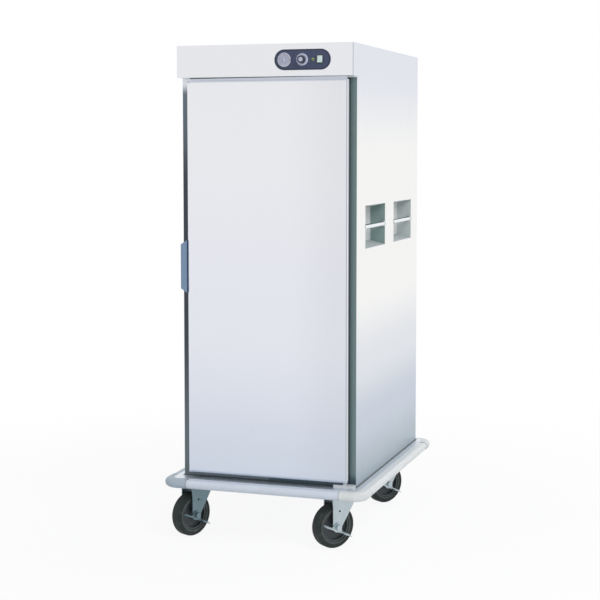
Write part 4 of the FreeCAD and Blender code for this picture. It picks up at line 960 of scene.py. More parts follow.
class Shape:
    """A mesh in the making, which ends as one piece of the cart."""

    join_distance: float = 1e-6
    dome_shares: tuple[Pair, ...] = ((0.0, 0.0), (1.0, 0.0), (1.0, 0.2), (0.9, 0.4), (0.68, 0.56))
    cross_shares: Triple = (0.46, 0.11, 0.30)
    cross_taper_share: float = 0.8
    dome_steps: int = 20

    def __init__(self) -> None:
        """Start an empty mesh."""
        self.mesh = bmesh.new()

    def turned(
        self, profile: Sequence[Pair], place: Matrix, steps: int = 32,
    ) -> list[list[bmesh.types.BMVert]]:
        """Add a round about the local Z axis.

        Args:
            profile: Radius and height at each ring; a radius of 0 closes an end.
            place: The local frame.
            steps: Sides of the round.

        Returns:
            The rings' vertices.
        """
        rings = []
        for radius, height in profile:
            count = steps if radius else 1
            turns = [math.tau * k / steps for k in range(count)]
            rings.append([
                self.mesh.verts.new(place @ Vector((radius * math.cos(a), radius * math.sin(a), height)))
                for a in turns
            ])
        for first, second in zip(rings, rings[1:]):
            for k in range(steps):
                ends = [first[k % len(first)], first[(k + 1) % len(first)],
                        second[(k + 1) % len(second)], second[k % len(second)]]
                corners = list(dict.fromkeys(ends))
                if len(corners) > 2:
                    self.mesh.faces.new(corners)
        return rings

    def prism(self, outline: Sequence[Pair], low: float, high: float, place: Matrix) -> None:
        """Add an upright prism.

        Args:
            outline: Its corners, anticlockwise.
            low: Its base.
            high: Its top.
            place: The local frame.
        """
        base, top = (
            [self.mesh.verts.new(place @ Vector((x, y, level))) for x, y in outline] for level in (low, high)
        )
        self.mesh.faces.new(base[::-1])
        self.mesh.faces.new(top)
        for k in range(len(outline)):
            self.mesh.faces.new([base[k - 1], base[k], top[k], top[k - 1]])

    def bar(self, width: float, length: float, height: float, place: Matrix) -> None:
        """Add a small block that stands on the local plane.

        Args:
            width: Its size along X.
            length: Its size along Y.
            height: Its size along Z.
            place: The local frame.
        """
        x, y = width / 2, length / 2
        self.prism([(-x, -y), (x, -y), (x, y), (-x, y)], 0.0, height, place)

    def screw(self, place: Matrix, radius: float, turn: float = 0.0) -> None:
        """Add a domed screw head with a cross recess.

        Args:
            place: The local frame, on the surface that it holds.
            radius: The head's radius.
            turn: How far the cross is turned.
        """
        place = place @ turned_by(turn)
        dome = [(radius * out, radius * up) for out, up in self.dome_shares]
        arm, half, sink = (radius * share for share in self.cross_shares)
        top, taper = dome[-1][1], self.cross_taper_share
        rim = self.turned(dome, place, self.dome_steps)[-1]
        quarter = [(arm, -half), (arm, half), (half, half)]
        cross = list(quarter)
        for _ in range(3):
            quarter = [(-y, x) for x, y in quarter]
            cross += quarter
        lip = [self.mesh.verts.new(place @ Vector((x, y, top))) for x, y in cross]
        foot = [self.mesh.verts.new(place @ Vector((taper * x, taper * y, top - sink))) for x, y in cross]
        edges = []
        for ring in (rim, lip):
            for k in range(len(ring)):
                pair = (ring[k - 1], ring[k])
                edges.append(self.mesh.edges.get(pair) or self.mesh.edges.new(pair))
        bmesh.ops.triangle_fill(self.mesh, edges=edges, use_beauty=True)
        for k in range(len(lip)):
            self.mesh.faces.new([lip[k - 1], lip[k], foot[k], foot[k - 1]])
        self.mesh.faces.new(foot)

    def band(self, inner: Sequence[Pair], outer: Sequence[Pair], height: float, place: Matrix) -> None:
        """Add a closed flat band between two outlines.

        Args:
            inner: Its inner outline.
            outer: Its outer outline, with as many points.
            height: How far it stands up.
            place: The local frame.
        """
        rings = [
            [self.mesh.verts.new(place @ Vector((x, y, level))) for x, y in outline]
            for outline, level in ((inner, 0.0), (outer, 0.0), (outer, height), (inner, height))
        ]
        for first, second in zip(rings, rings[1:] + rings[:1]):
            for k in range(len(first)):
                self.mesh.faces.new([first[k - 1], first[k], second[k], second[k - 1]])

    def hoop(self, low: Pair, high: Pair, level: float, section: Sequence[Pair]) -> None:
        """Add a mitred strip round a rectangle.

        Args:
            low: The rectangle's lower corner.
            high: The rectangle's upper corner.
            level: Height of the rectangle.
            section: The strip's section as distances outwards and upwards.
        """
        rings = []
        for out, rise in section:
            corners = [(low[0] - out, low[1] - out), (high[0] + out, low[1] - out),
                       (high[0] + out, high[1] + out), (low[0] - out, high[1] + out)]
            rings.append([self.mesh.verts.new((x, y, level + rise)) for x, y in corners])
        for first, second in zip(rings, rings[1:] + rings[:1]):
            for k in range(4):
                self.mesh.faces.new([first[k - 1], first[k], second[k], second[k - 1]])

    def figures(self, text: str, size: float, place: Matrix, height: float) -> None:
        """Add plain figures that stand on the local plane.

        Args:
            text: The figures.
            size: Their height.
            place: The local frame, at their middle.
            height: How far they stand up.
        """
        curve = bpy.data.curves.new("figures", "FONT")
        curve.body, curve.size, curve.extrude = text, size, height / 2
        curve.align_x, curve.align_y = "CENTER", "CENTER"
        holder = bpy.data.objects.new("figures", curve)
        flat = bpy.data.meshes.new_from_object(holder)
        flat.transform(place @ Matrix.Translation((0.0, 0.0, height / 2)))
        self.mesh.from_mesh(flat)
        bpy.data.objects.remove(holder)
        bpy.data.curves.remove(curve)
        bpy.data.meshes.remove(flat)

    def piece(self, name: str, body: str, slot: str, finish: Finish, crease: float = 34.0) -> None:
        """End the mesh as a piece of the cart.

        Args:
            name: The piece's name.
            body: The body that it moves with.
            slot: The record's material slot that it belongs to; not used.
            finish: Its material.
            crease: Angle in degrees above which an edge stays sharp.
        """
        bmesh.ops.remove_doubles(self.mesh, verts=self.mesh.verts, dist=self.join_distance)
        bmesh.ops.recalc_face_normals(self.mesh, faces=self.mesh.faces)
        mesh = bpy.data.meshes.new(name)
        self.mesh.to_mesh(mesh)
        self.mesh.free()
        mesh.shade_smooth()
        mesh.set_sharp_from_angle(angle=math.radians(crease))
        mesh.materials.append(finish.material())
        made = bpy.data.objects.new(name, mesh)
        bpy.context.scene.collection.objects.link(made)
        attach(made, body)
        LOG.info("%s rides on %s", name, body)


# Sub-assemblies


@dataclass
class Cabinet:
    """The outer shell: sheets, face frame, hand grips, and what fastens and seals them, with dark beads of
    painted shade at the sheets' foot and along the header lip.
    """

    cart: Cart
    # Section of the painted shade bead round the sheets' foot.
    seal_width: float = 0.0045
    seal_height: float = 0.0035
    seal_lap: float = 0.0006
    seal_shares: tuple[Pair, ...] = ((1.0, 0.0), (0.6, 0.45), (0.2, 1.0))
    screw_radius: float = 0.0046
    screw_inset: float = 0.014
    screw_rows: int = 9
    screw_columns: Triple = (-0.15, 0.0, 0.15)
    screw_turn: float = 0.7
    weld_radius: float = 0.0028
    weld_lap: float = 0.0004
    weld_shares: tuple[Pair, ...] = ((1.0, 0.0), (0.75, 0.5), (0.3, 0.9))
    weld_steps: int = 28
    lip_clear: float = 0.0006
    lip_start: float = 0.040
    lip_end: float = 0.0010
    lip_lead: float = 0.0020
    lip_gauge: float = 0.0015
    # Depths of the painted shadow wedge at the lip's left and right ends.
    lip_seam: Pair = (0.0036, 0.0008)
    seam_width: float = 0.0012
    seam_rise: float = 0.0002

    def build(self) -> None:
        """Dress the sheets and add the fittings."""
        self.cart.dress(SIDE_STEEL, "side_panel_left", "side_panel_right", "back_panel")
        self.cart.dress(STEEL_LEVEL, "header_panel")
        self.cart.dress(STEEL_TOP, "top_panel")
        self.cart.dress(FRAME_STEEL, "front_frame")
        self.cart.dress(POCKET_STEEL, "handle_pockets")
        self.cart.dress(BAR_STEEL, "handle_bars")
        self.cart.dress(FOAM, "insulation")
        self.foot_seal()
        self.header_lip()
        self.header_seam()
        self.back_screws()
        self.bar_welds()

    def header_lip(self) -> None:
        """A drip lip under the header, above the door's edge and in front of the upper bracket, with a dark
        wedge of painted shadow along its top, deepest on the left.
        """
        header, door = self.cart.span("header_panel"), self.cart.span("door_skin")
        left, right = header.low.x + self.lip_start, door.high.x - self.lip_end
        half, drop = (right - left) / 2, header.low.z - door.high.z - self.lip_clear
        at = facing(Vector(((left + right) / 2, door.low.y - self.lip_lead, header.low.z)), FRONT)
        lip, line = Shape(), Shape()
        lip.prism([(-half, -drop), (half, -drop), (half, 0.0), (-half, 0.0)], -self.lip_gauge, 0.0, at)
        lip.piece("header_lip", "cabinet", "stainless", LIP_STEEL)
        # Painted shadow: a dark wedge under the header's edge, fading to the right.
        deep, shallow = self.lip_seam
        line.prism([(-half, -deep), (half, -shallow), (half, 0.0), (-half, 0.0)], 0.0, self.seam_rise, at)
        line.piece("lip_seam", "cabinet", "gasket", SEALANT_AND_SHADE)

    def header_seam(self) -> None:
        """Sealant in the seam between the header's face and its right cheek."""
        header = self.cart.span("header_panel")
        seam = Shape()
        at = facing(Vector((header.high.x, header.low.y, header.middle.z)), FRONT)
        seam.bar(self.seam_width, header.high.z - header.low.z, self.seam_rise, at)
        seam.piece("header_seam", "cabinet", "gasket", SEALANT_AND_SHADE)

    def foot_seal(self) -> None:
        """A dark bead where the sheets meet the deck: painted shade for the shadow in that seam."""
        left, right = self.cart.span("side_panel_left"), self.cart.span("side_panel_right")
        front = self.cart.span("front_frame").low.y
        width, height, inner = self.seal_width, self.seal_height, -self.seal_lap
        section = [(out * width, up * height) for out, up in self.seal_shares]
        section = [(inner, 0.0), *section, (inner, height)]
        bead = Shape()
        bead.hoop((left.low.x, front), (right.high.x, right.high.y), right.low.z, section)
        bead.piece("foot_seal", "cabinet", "gasket", SEALANT_AND_SHADE)

    def back_screws(self) -> None:
        """Screws round the edge of the rear sheet."""
        back, inset = self.cart.span("back_panel"), self.screw_inset
        sides = (back.low.x + inset, back.high.x - inset)
        foot, steps = back.low.z + inset, self.screw_rows - 1
        rise = back.high.z - back.low.z - 2 * inset
        heights = [foot + rise * k / steps for k in range(self.screw_rows)]
        places = [(x, z) for x in sides for z in heights]
        places += [(x, z) for x in self.screw_columns for z in (heights[0], heights[-1])]
        heads = Shape()
        for k, (x, z) in enumerate(places):
            at = facing(Vector((x, back.high.y, z)), BACK)
            heads.screw(at, self.screw_radius, self.screw_turn * k)
        heads.piece("back_panel_screws", "cabinet", "zinc", SCREW_STEEL)

    def bar_welds(self) -> None:
        """Weld beads where the grip bars meet the pockets' end walls."""
        bars, pockets = self.cart.span("handle_bars"), self.cart.span("handle_pockets")
        radius = (bars.high.z - bars.low.z) / 2
        ends = sorted({round(point.y, PLACE_DIGITS) for point in self.cart.points("handle_bars")})
        weld, inner = self.weld_radius, radius - self.weld_lap
        bead = [(radius + out * weld, up * weld) for out, up in self.weld_shares]
        bead = [(inner, 0.0), *bead, (inner, weld), (inner, 0.0)]
        welds = Shape()
        for x in (bars.low.x + radius, bars.high.x - radius):
            for y, way in zip(ends, (1, -1, 1, -1)):
                at = facing(Vector((x, y, pockets.middle.z)), BACK * way)
                welds.turned(bead, at, self.weld_steps)
        welds.piece("grip_bar_welds", "cabinet", "stainless", SCREW_STEEL)


@dataclass
class Base:
    """The deck and its bumper."""

    cart: Cart
    joint_width: float = 0.0012
    joint_rise: float = 0.0008
    joint_depth: float = 0.014
    joint_steps: int = 16
    tolerance: float = 1e-4
    rail_edge: float = 0.0006
    corner_edge: float = 0.0008

    def build(self) -> None:
        """Dress the deck and the bumper, and seal the bumper's joints."""
        self.cart.dress(DECK_STEEL, "base_frame")
        self.cart.dress(BUMPER_RAIL, "bumper_rails", edge=self.rail_edge)
        self.cart.dress(BUMPER_CORNER, "bumper_corners", edge=self.corner_edge)
        self.bumper_joints()

    def bumper_joints(self) -> None:
        """Beads of sealant round the rails' ends, where the corners meet them."""
        rails = self.cart.span("bumper_rails")
        points = self.cart.points("bumper_rails")
        radius, level = (rails.high.z - rails.low.z) / 2, rails.middle.z
        end_x = max(point.x for point in points if point.y > rails.high.y - self.tolerance)
        end_y = max(point.y for point in points if point.x > rails.high.x - self.tolerance)
        line_x, line_y = rails.high.x - radius, rails.high.y - radius
        beads = Shape()
        for x in (1, -1):
            for y in (1, -1):
                self.bead(beads, Vector((x * end_x, y * line_y, level)), ACROSS * -x, BACK * y, radius)
                self.bead(beads, Vector((x * line_x, y * end_y, level)), BACK * -y, ACROSS * x, radius)
        beads.piece("bumper_joints", "cabinet", "gasket", SEALANT_AND_SHADE)

    def bead(self, beads: Shape, point: Vector, along: Vector, out: Vector, radius: float) -> None:
        """Add one bead round the half-round end of a rail.

        Args:
            beads: The beads' mesh.
            point: The centre of the rail's end.
            along: The way the rail goes from there.
            out: The way its round side faces.
            radius: The rail's radius.
        """
        turns, deep = arc(-math.pi / 2, math.pi / 2, self.joint_steps), -self.joint_depth
        inner, outer = (
            [(r * math.sin(a), r * math.cos(a)) for a in turns] + [(r, deep), (-r, deep)]
            for r in (radius - self.joint_rise, radius + self.joint_rise)
        )
        beads.band(inner, outer, self.joint_width, facing(point, along, out))


@dataclass
class Caster:
    """One swivel caster: fork, wheel, tyre and brake lever."""

    cart: Cart
    corner: str
    ring_width: float = 0.0062
    ring_height: float = 0.0008
    ring_radius: float = 0.0568
    ring_lap: float = 0.0004
    ring_slant_share: float = 0.3
    ring_steps: int = 64
    seal_radius: float = 0.0282
    seal_tube: float = 0.0016
    seal_lift: float = 0.0002
    seal_sides: int = 10
    seal_steps: int = 48
    seal_crease: float = 80.0
    rib_count: int = 5
    rib_width: float = 0.0014
    rib_height: float = 0.0009
    rib_margin: float = 0.004
    edge: float = 0.0006
    core_edge: float = 0.0008

    @property
    def plating(self) -> ZincPlate:
        """The caster's plating, darker on the free side as painted shade."""
        return SHADE_SIDE_ZINC if self.corner.endswith("left") else ZINC

    def build(self) -> None:
        """Dress the caster's nodes and add its small parts."""
        name = self.corner
        self.cart.dress(self.plating, f"fork_{name}")
        self.cart.dress(self.plating, f"axle_{name}", f"brake_lever_{name}", edge=self.edge)
        self.cart.dress(WHEEL_PLASTIC, f"wheel_core_{name}", edge=self.core_edge)
        self.cart.dress(TYRE, f"tyre_{name}")
        self.sidewalls()
        self.swivel_seal()
        self.pedal_ribs()

    def pedal_ribs(self) -> None:
        """Ribs across the two pedals of the brake lever."""
        centre, axle = self.cart.joint(f"brake_{self.corner}")
        tread = self.cart.flats(f"brake_lever_{self.corner}", UP)[0]
        along = axle.cross(tread.normal).normalized()
        ribs = Shape()
        for way in (1, -1):
            points = [point for point in tread.points if (point - centre).dot(along) * way > 0]
            (near, far), (inner, outer) = tread.reach(along, points), tread.reach(axle, points)
            level = tread.reach(tread.normal, points)[1]
            for k in range(self.rib_count):
                at = near + self.rib_margin + (far - near - 2 * self.rib_margin) * k / (self.rib_count - 1)
                spot = along * at + axle * ((inner + outer) / 2) + tread.normal * level
                length = outer - inner - self.rib_margin
                ribs.bar(self.rib_width, length, self.rib_height, facing(spot, tread.normal, axle))
        ribs.piece(f"pedal_ribs_{self.corner}", f"brake_{self.corner}", "zinc", self.plating)

    def sidewalls(self) -> None:
        """A raised ring on each side of the tyre."""
        centre, axle = self.cart.joint(f"roll_{self.corner}")
        half = max((point - centre).dot(axle) for point in self.cart.points(f"tyre_{self.corner}"))
        low, high = half - self.ring_lap, half + self.ring_height
        near, far = self.ring_radius - self.ring_width / 2, self.ring_radius + self.ring_width / 2
        slant = self.ring_slant_share * self.ring_width
        profile = [(near, low), (near + slant, high), (far - slant, high), (far, low), (near, low)]
        rings = Shape()
        for way in (1, -1):
            rings.turned(profile, facing(centre, axle * way), self.ring_steps)
        rings.piece(f"tyre_rings_{self.corner}", f"wheel_{self.corner}", "tyre_rubber", TYRE_RING)

    def swivel_seal(self) -> None:
        """A dust seal between the two races."""
        pivot, _ = self.cart.joint(f"swivel_{self.corner}")
        level = self.cart.span(f"fork_{self.corner}").high.z + self.seal_lift
        radius, tube, turns = self.seal_radius, self.seal_tube, arc(0.0, math.tau, self.seal_sides)
        profile = [(radius + tube * math.cos(a), tube * math.sin(a)) for a in turns]
        seal = Shape()
        seal.turned(profile, facing(Vector((pivot.x, pivot.y, level)), UP, BACK), self.seal_steps)
        seal.piece(f"swivel_seal_{self.corner}", f"caster_{self.corner}", "gasket", SEAL, self.seal_crease)


@dataclass
class CasterPlates:
    """The swivel plates and bolts under the deck; the plates' dark colour is painted shade."""

    cart: Cart
    edge: float = 0.0006

    def build(self) -> None:
        """Dress the plates and bolts."""
        self.cart.dress(CASTER_PLATE_SHADE, "caster_plates", edge=self.edge)
        self.cart.dress(ZINC, "caster_bolts", edge=self.edge)


@dataclass
class Door:
    """The overlay door, its seal, pull and pivots."""

    cart: Cart
    screw_radius: float = 0.0044
    screw_step: float = 0.16
    screw_inset: float = 0.035
    screw_turn: float = 1.1
    # Width and inset of the painted shade line along the hung rim.
    hem_width: float = 0.0035
    hem_inset: float = 0.0012
    hem_rise: float = 0.0002
    cap_height: float = 0.0046
    cap_gauge: float = 0.00015
    bead_width: float = 0.0025
    bead_depth: float = 0.0070
    fold_rise: float = 0.00005
    fold_sink: float = 0.0002
    fold_steps: int = 6
    pull_edge: float = 0.0008
    pivot_edge: float = 0.0006

    def build(self) -> None:
        """Dress the door and add its lining's screws, its folds and their trim."""
        self.cart.dress(DOOR_STEEL, "door_skin")
        self.cart.dress(LINER_STEEL, "door_liner")
        self.cart.dress(PULL_STEEL, "door_handle", edge=self.pull_edge)
        self.cart.dress(SEAL, "door_gasket")
        self.cart.dress(FOAM, "door_core")
        self.cart.dress(ZINC, "door_bushes", edge=self.pivot_edge)
        self.cart.dress(BRACKET, "hinge_brackets", edge=self.pivot_edge)
        self.lining_screws()
        self.edge_folds()

    def rim(self, radius: float, first: float, last: float) -> list[Pair]:
        """Points just inside the skin's rounded rim.

        Args:
            radius: The rim's radius.
            first: Angle to start from, where 0 is on the door's face.
            last: Angle to end at.

        Returns:
            Each point's distance behind the face and in from the rim.
        """
        inside = radius - self.fold_sink
        turns = arc(first, last, self.fold_steps)
        return [(radius - inside * math.cos(a), radius - inside * math.sin(a)) for a in turns]

    def edge_folds(self) -> None:
        """Folds that square the top and hung rims, with a cap on the top rim and a dark line of painted shade
        along the hung one, and the bead on the hung side.
        """
        skin = self.cart.span("door_skin")
        face = self.cart.flats("door_skin", FRONT)[0]
        sheet = [point for point in face.points if point.y < skin.low.y + self.fold_sink]
        radius = skin.high.z - face.reach(UP, sheet)[1]
        split, rise = math.asin(1 - self.cap_height / radius), self.fold_rise
        foot, height = skin.low.z + radius, skin.high.z - skin.low.z - radius
        width = skin.high.x - skin.low.x - radius
        top = facing(Vector((skin.low.x + radius, skin.low.y, skin.high.z)), ACROSS, UP)
        side = facing(Vector((skin.high.x, skin.low.y, foot)), UP, BACK)
        folds, cap, hem, bead = Shape(), Shape(), Shape(), Shape()
        under = [(depth, -inward) for depth, inward in self.rim(radius, 0.0, split)]
        folds.prism([(-rise, -radius), *under, (-rise, -self.cap_height)], 0.0, width - radius, top)
        hung = [(-inward, depth) for depth, inward in self.rim(radius, math.pi / 2, 0.0)]
        folds.prism([(-radius, -rise), (0.0, -rise), (0.0, radius), *hung], 0.0, height, side)
        folds.piece("door_edge_folds", "door", "stainless", DOOR_STEEL)
        over = [(depth, -inward) for depth, inward in self.rim(radius, split, math.pi / 2)]
        front, crest = -self.cap_gauge, self.hem_rise
        cap.prism([(front, -self.cap_height), *over, (radius, crest), (front, crest)], 0.0, width, top)
        cap.piece("door_top_hem", "door", "stainless", LIP_STEEL)
        # Painted shade: a dark line along the front of the hung rim.
        x = skin.high.x - self.hem_inset - self.hem_width / 2
        at = facing(Vector((x, skin.low.y, foot + (height - self.hem_inset) / 2)), FRONT)
        hem.bar(self.hem_width, height - self.hem_inset, self.hem_rise, at)
        hem.piece("door_edge_shade_line", "door", "stainless", EDGE_SHADE_STEEL)
        out, depth = self.bead_width, self.bead_depth
        turns = arc(0.0, math.pi / 2, self.fold_steps)
        outline = [(out * math.sin(a), out * (1 - math.cos(a))) for a in turns]
        bead.prism([*outline, (out, depth), (0.0, depth)], 0.0, height, side)
        bead.piece("door_edge_bead", "door", "stainless", STEEL_LEVEL)

    def lining_screws(self) -> None:
        """Screws that hold the lining to the skin, between its plug and the seal."""
        seal, back = self.cart.span("door_gasket"), self.cart.span("door_skin").high.y
        low_x, high_x = seal.low.x + self.screw_inset, seal.high.x - self.screw_inset
        low_z, high_z = seal.low.z + self.screw_inset, seal.high.z - self.screw_inset
        width, height = high_x - low_x, high_z - low_z
        rows, columns = round(height / self.screw_step), round(width / self.screw_step)
        places = [(x, low_z + height * k / rows) for x in (low_x, high_x) for k in range(rows + 1)]
        places += [(low_x + width * k / columns, z) for k in range(1, columns) for z in (low_z, high_z)]
        heads = Shape()
        for k, (x, z) in enumerate(places):
            heads.screw(facing(Vector((x, back, z)), BACK), self.screw_radius, self.screw_turn * k)
        heads.piece("door_lining_screws", "door", "zinc", SCREW_STEEL)


@dataclass
class Interior:
    """The cavity: lining, tray racks, baffle, fan and heater."""

    cart: Cart
    screw_radius: float = 0.0040
    post_depth: float = 0.008
    post_inset: float = 0.010
    post_levels: Triple = (0.030, 0.036, 0.060)
    post_turn: float = 9.0
    lip_inset: Pair = (0.0075, 0.02)
    lip_sink: float = 0.001
    lip_turn: float = 7.0
    motor_edge: float = 0.0008

    def build(self) -> None:
        """Dress the cavity and add its screws."""
        self.cart.dress(LINER_STEEL, "liner_wrap", "liner_floor", "liner_ceiling", "air_baffle")
        self.cart.dress(RACK_STEEL, "rack_left", "rack_right", "fan_impeller")
        self.cart.dress(MOTOR, "fan_motor", edge=self.motor_edge)
        self.cart.dress(HEATER, "heater_element")
        self.rack_screws()
        self.baffle_screws()

    def rack_screws(self) -> None:
        """Screws through each rack's posts."""
        above_foot, above_middle, below_top = self.post_levels
        heads = Shape()
        for side, way in (("left", 1), ("right", -1)):
            rack = self.cart.span(f"rack_{side}")
            wall = rack.low.x if way > 0 else rack.high.x
            face = wall + self.post_depth * way
            for y in (rack.low.y + self.post_inset, rack.middle.y, rack.high.y - self.post_inset):
                for z in (rack.low.z + above_foot, rack.middle.z + above_middle, rack.high.z - below_top):
                    at = facing(Vector((face, y, z)), ACROSS * way)
                    heads.screw(at, self.screw_radius, y * self.post_turn + z)
        heads.piece("rack_screws", "cabinet", "zinc", SCREW_STEEL)

    def baffle_screws(self) -> None:
        """Screws through the baffle's lips."""
        baffle = self.cart.span("air_baffle")
        (in_x, in_y), level = self.lip_inset, baffle.high.z - self.lip_sink
        heads = Shape()
        for x in (baffle.low.x + in_x, baffle.high.x - in_x):
            for y in (baffle.low.y + in_y, baffle.middle.y, baffle.high.y - in_y):
                at = facing(Vector((x, y, level)), DOWN, BACK)
                heads.screw(at, self.screw_radius, y * self.lip_turn)
        heads.piece("baffle_screws", "cabinet", "zinc", SCREW_STEEL)


@dataclass
class Controls:
    """The control group on the header: thermometer, thermostat, lamp and switch."""

    cart: Cart
    face_depth: float = 0.0034
    card_gauge: float = 0.0002
    print_gauge: float = 0.00006
    card_clear: float = 0.0002
    card_bore: float = 0.001
    card_steps: int = 48
    dial_sweep: float = 240.0
    dial_marks: int = 13
    dial_step: int = 10
    long_tick: Pair = (0.0005, 0.0026)
    short_tick: Pair = (0.0003, 0.0014)
    tick_inset: float = 0.0012
    figure_inset: float = 0.0062
    figure_size: float = 0.0034
    knob_sweep: float = 270.0
    knob_marks: int = 11
    knob_tick: Pair = (0.0006, 0.0024)
    knob_tick_radius: float = 0.0226
    knob_figure_radius: float = 0.0262
    knob_figure_size: float = 0.0040
    skirt_gauge: float = 0.0032
    rib_rise: float = 0.0017
    cap_radius: float = 0.0030
    cap_height: float = 0.0007
    cap_sink: float = 0.0001
    cap_shares: tuple[Pair, ...] = ((0.0, 0.0), (1.0, 0.0), (1.0, 0.5), (0.6, 0.85), (0.0, 1.0))
    cap_steps: int = 24
    edge_inset: float = 0.0012
    edge_width: float = 0.0034
    edge_steps: int = 24
    switch_edge: float = 0.0003
    mark_size: float = 0.0052
    mark_line: float = 0.0008

    def build(self) -> None:
        """Dress the instruments and add their cards and marks."""
        self.cart.dress(PLATE_BLUE, "control_plate")
        self.cart.dress(BEZEL, "thermometer_case")
        self.cart.dress(LENS, "thermometer_lens")
        self.cart.dress(NEEDLE, "thermometer_needle")
        self.cart.dress(self.knob_finish(), "thermostat_knob")
        self.cart.dress(BAKELITE, "thermostat")
        self.cart.dress(LAMP, "indicator_lamp")
        self.cart.dress(SWITCH, "switch_body", edge=self.switch_edge)
        self.cart.dress(ROCKER, "switch_rocker", edge=self.switch_edge)
        self.dial()
        self.needle_cap()
        self.plate_edge()
        self.knob_scale()
        self.rocker_marks()

    def needle_cap(self) -> None:
        """A pale cap on the needle's hub."""
        needle = self.cart.span("thermometer_needle")
        pivot, _ = self.cart.joint("needle_turn")
        profile = [(out * self.cap_radius, up * self.cap_height) for out, up in self.cap_shares]
        at = facing(Vector((pivot.x, needle.low.y + self.cap_sink, pivot.z)), FRONT)
        cap = Shape()
        cap.turned(profile, at, self.cap_steps)
        cap.piece("needle_cap", "thermometer_needle", "dial_metal", CAP_WHITE)

    def plate_edge(self) -> None:
        """A dark printed line round the edge of the plate."""
        plate = self.cart.span("control_plate")
        radius = (plate.high.z - plate.low.z) / 2 - self.edge_inset
        half = (plate.high.x - plate.low.x) / 2 - self.edge_inset - radius
        turns = arc(-math.pi / 2, math.pi / 2, self.edge_steps)
        inner, outer = (
            [(way * (half + r * math.cos(a)), way * r * math.sin(a)) for way in (1, -1) for a in turns]
            for r in (radius - self.edge_width, radius)
        )
        at = facing(Vector((plate.middle.x, plate.low.y, plate.middle.z)), FRONT)
        line = Shape()
        line.band(inner, outer, self.print_gauge, at)
        line.piece("plate_edge_line", "cabinet", "control_blue", PLATE_EDGE)

    def knob_finish(self) -> TurnedKnob:
        """The knob's finish, set to where the knob sits."""
        knob = self.cart.span("thermostat_knob")
        skirt, cap = knob.high.y - self.skirt_gauge, knob.low.y + self.rib_rise
        return replace(KNOB, axis=(knob.middle.x, knob.middle.z), skirt_level=skirt, cap_level=cap)

    def figure(self, marks: Shape, turn: Matrix, angle: float, radius: float, text: str, size: float) -> None:
        """Add an upright figure to a round scale.

        Args:
            marks: The scale's mesh.
            turn: The scale's frame, turned towards the figure.
            angle: How far it is turned.
            radius: The figure's distance from the scale's middle.
            text: What it says.
            size: Its height.
        """
        spot = turn @ Matrix.Translation((0.0, radius, 0.0)) @ turned_by(-angle)
        marks.figures(text, size, spot, self.print_gauge)

    def dial(self) -> None:
        """The dial's card, ticks and figures."""
        lens = self.cart.span("thermometer_lens")
        radius = (lens.high.x - lens.low.x) / 2 - self.card_clear
        bore, gauge = self.card_bore, self.card_gauge
        centre = Vector((lens.middle.x, lens.low.y + self.face_depth, lens.middle.z))
        face = facing(centre, FRONT)
        profile = [(bore, 0.0), (radius, 0.0), (radius, gauge), (bore, gauge), (bore, 0.0)]
        card = Shape()
        card.turned(profile, face, self.card_steps)
        card.piece("dial_card", "cabinet", "dial_metal", replace(DIAL_CARD, axis=(centre.x, centre.z)))
        marks = Shape()
        raised = face @ Matrix.Translation((0.0, 0.0, gauge))
        half = math.radians(self.dial_sweep / 2)
        for k, angle in enumerate(arc(half, -half, self.dial_marks - 1)):
            turn = raised @ turned_by(angle)
            numbered = k % 2 == 0
            width, length = self.long_tick if numbered else self.short_tick
            tick = turn @ Matrix.Translation((0.0, radius - self.tick_inset - length / 2, 0.0))
            marks.bar(width, length, self.print_gauge, tick)
            if numbered:
                text, middle = str(self.dial_step * k), radius - self.figure_inset
                self.figure(marks, turn, angle, middle, text, self.figure_size)
        marks.piece("dial_marks", "cabinet", "needle_dark", DIAL_INK)

    def knob_scale(self) -> None:
        """Ticks and figures on the plate round the knob."""
        centre, _ = self.cart.joint("knob_turn")
        front = self.cart.span("control_plate").low.y
        face = facing(Vector((centre.x, front, centre.z)), FRONT)
        marks = Shape()
        half = math.radians(self.knob_sweep / 2)
        for k, angle in enumerate(arc(half, -half, self.knob_marks - 1)):
            turn = face @ turned_by(angle)
            tick = turn @ Matrix.Translation((0.0, self.knob_tick_radius, 0.0))
            marks.bar(*self.knob_tick, self.print_gauge, tick)
            self.figure(marks, turn, angle, self.knob_figure_radius, str(k), self.knob_figure_size)
        marks.piece("knob_scale", "cabinet", "rocker", PLATE_INK)

    def rocker_marks(self) -> None:
        """A bar and a ring on the two ends of the rocker."""
        flats = self.cart.flats("switch_rocker", FRONT)[:2]
        ends = [(sum(flat.points, Vector()) / len(flat.points), flat.normal) for flat in flats]
        lower, upper = (facing(*end) for end in sorted(ends, key=lambda end: end[0].z))
        outer, inner, high = self.mark_size / 2, self.mark_size / 2 - self.mark_line, self.print_gauge
        marks = Shape()
        marks.turned([(inner, 0.0), (outer, 0.0), (outer, high), (inner, high), (inner, 0.0)], lower)
        marks.bar(self.mark_line, self.mark_size, high, upper)
        marks.piece("rocker_marks", "switch_rocker", "needle_dark", ROCKER_INK)


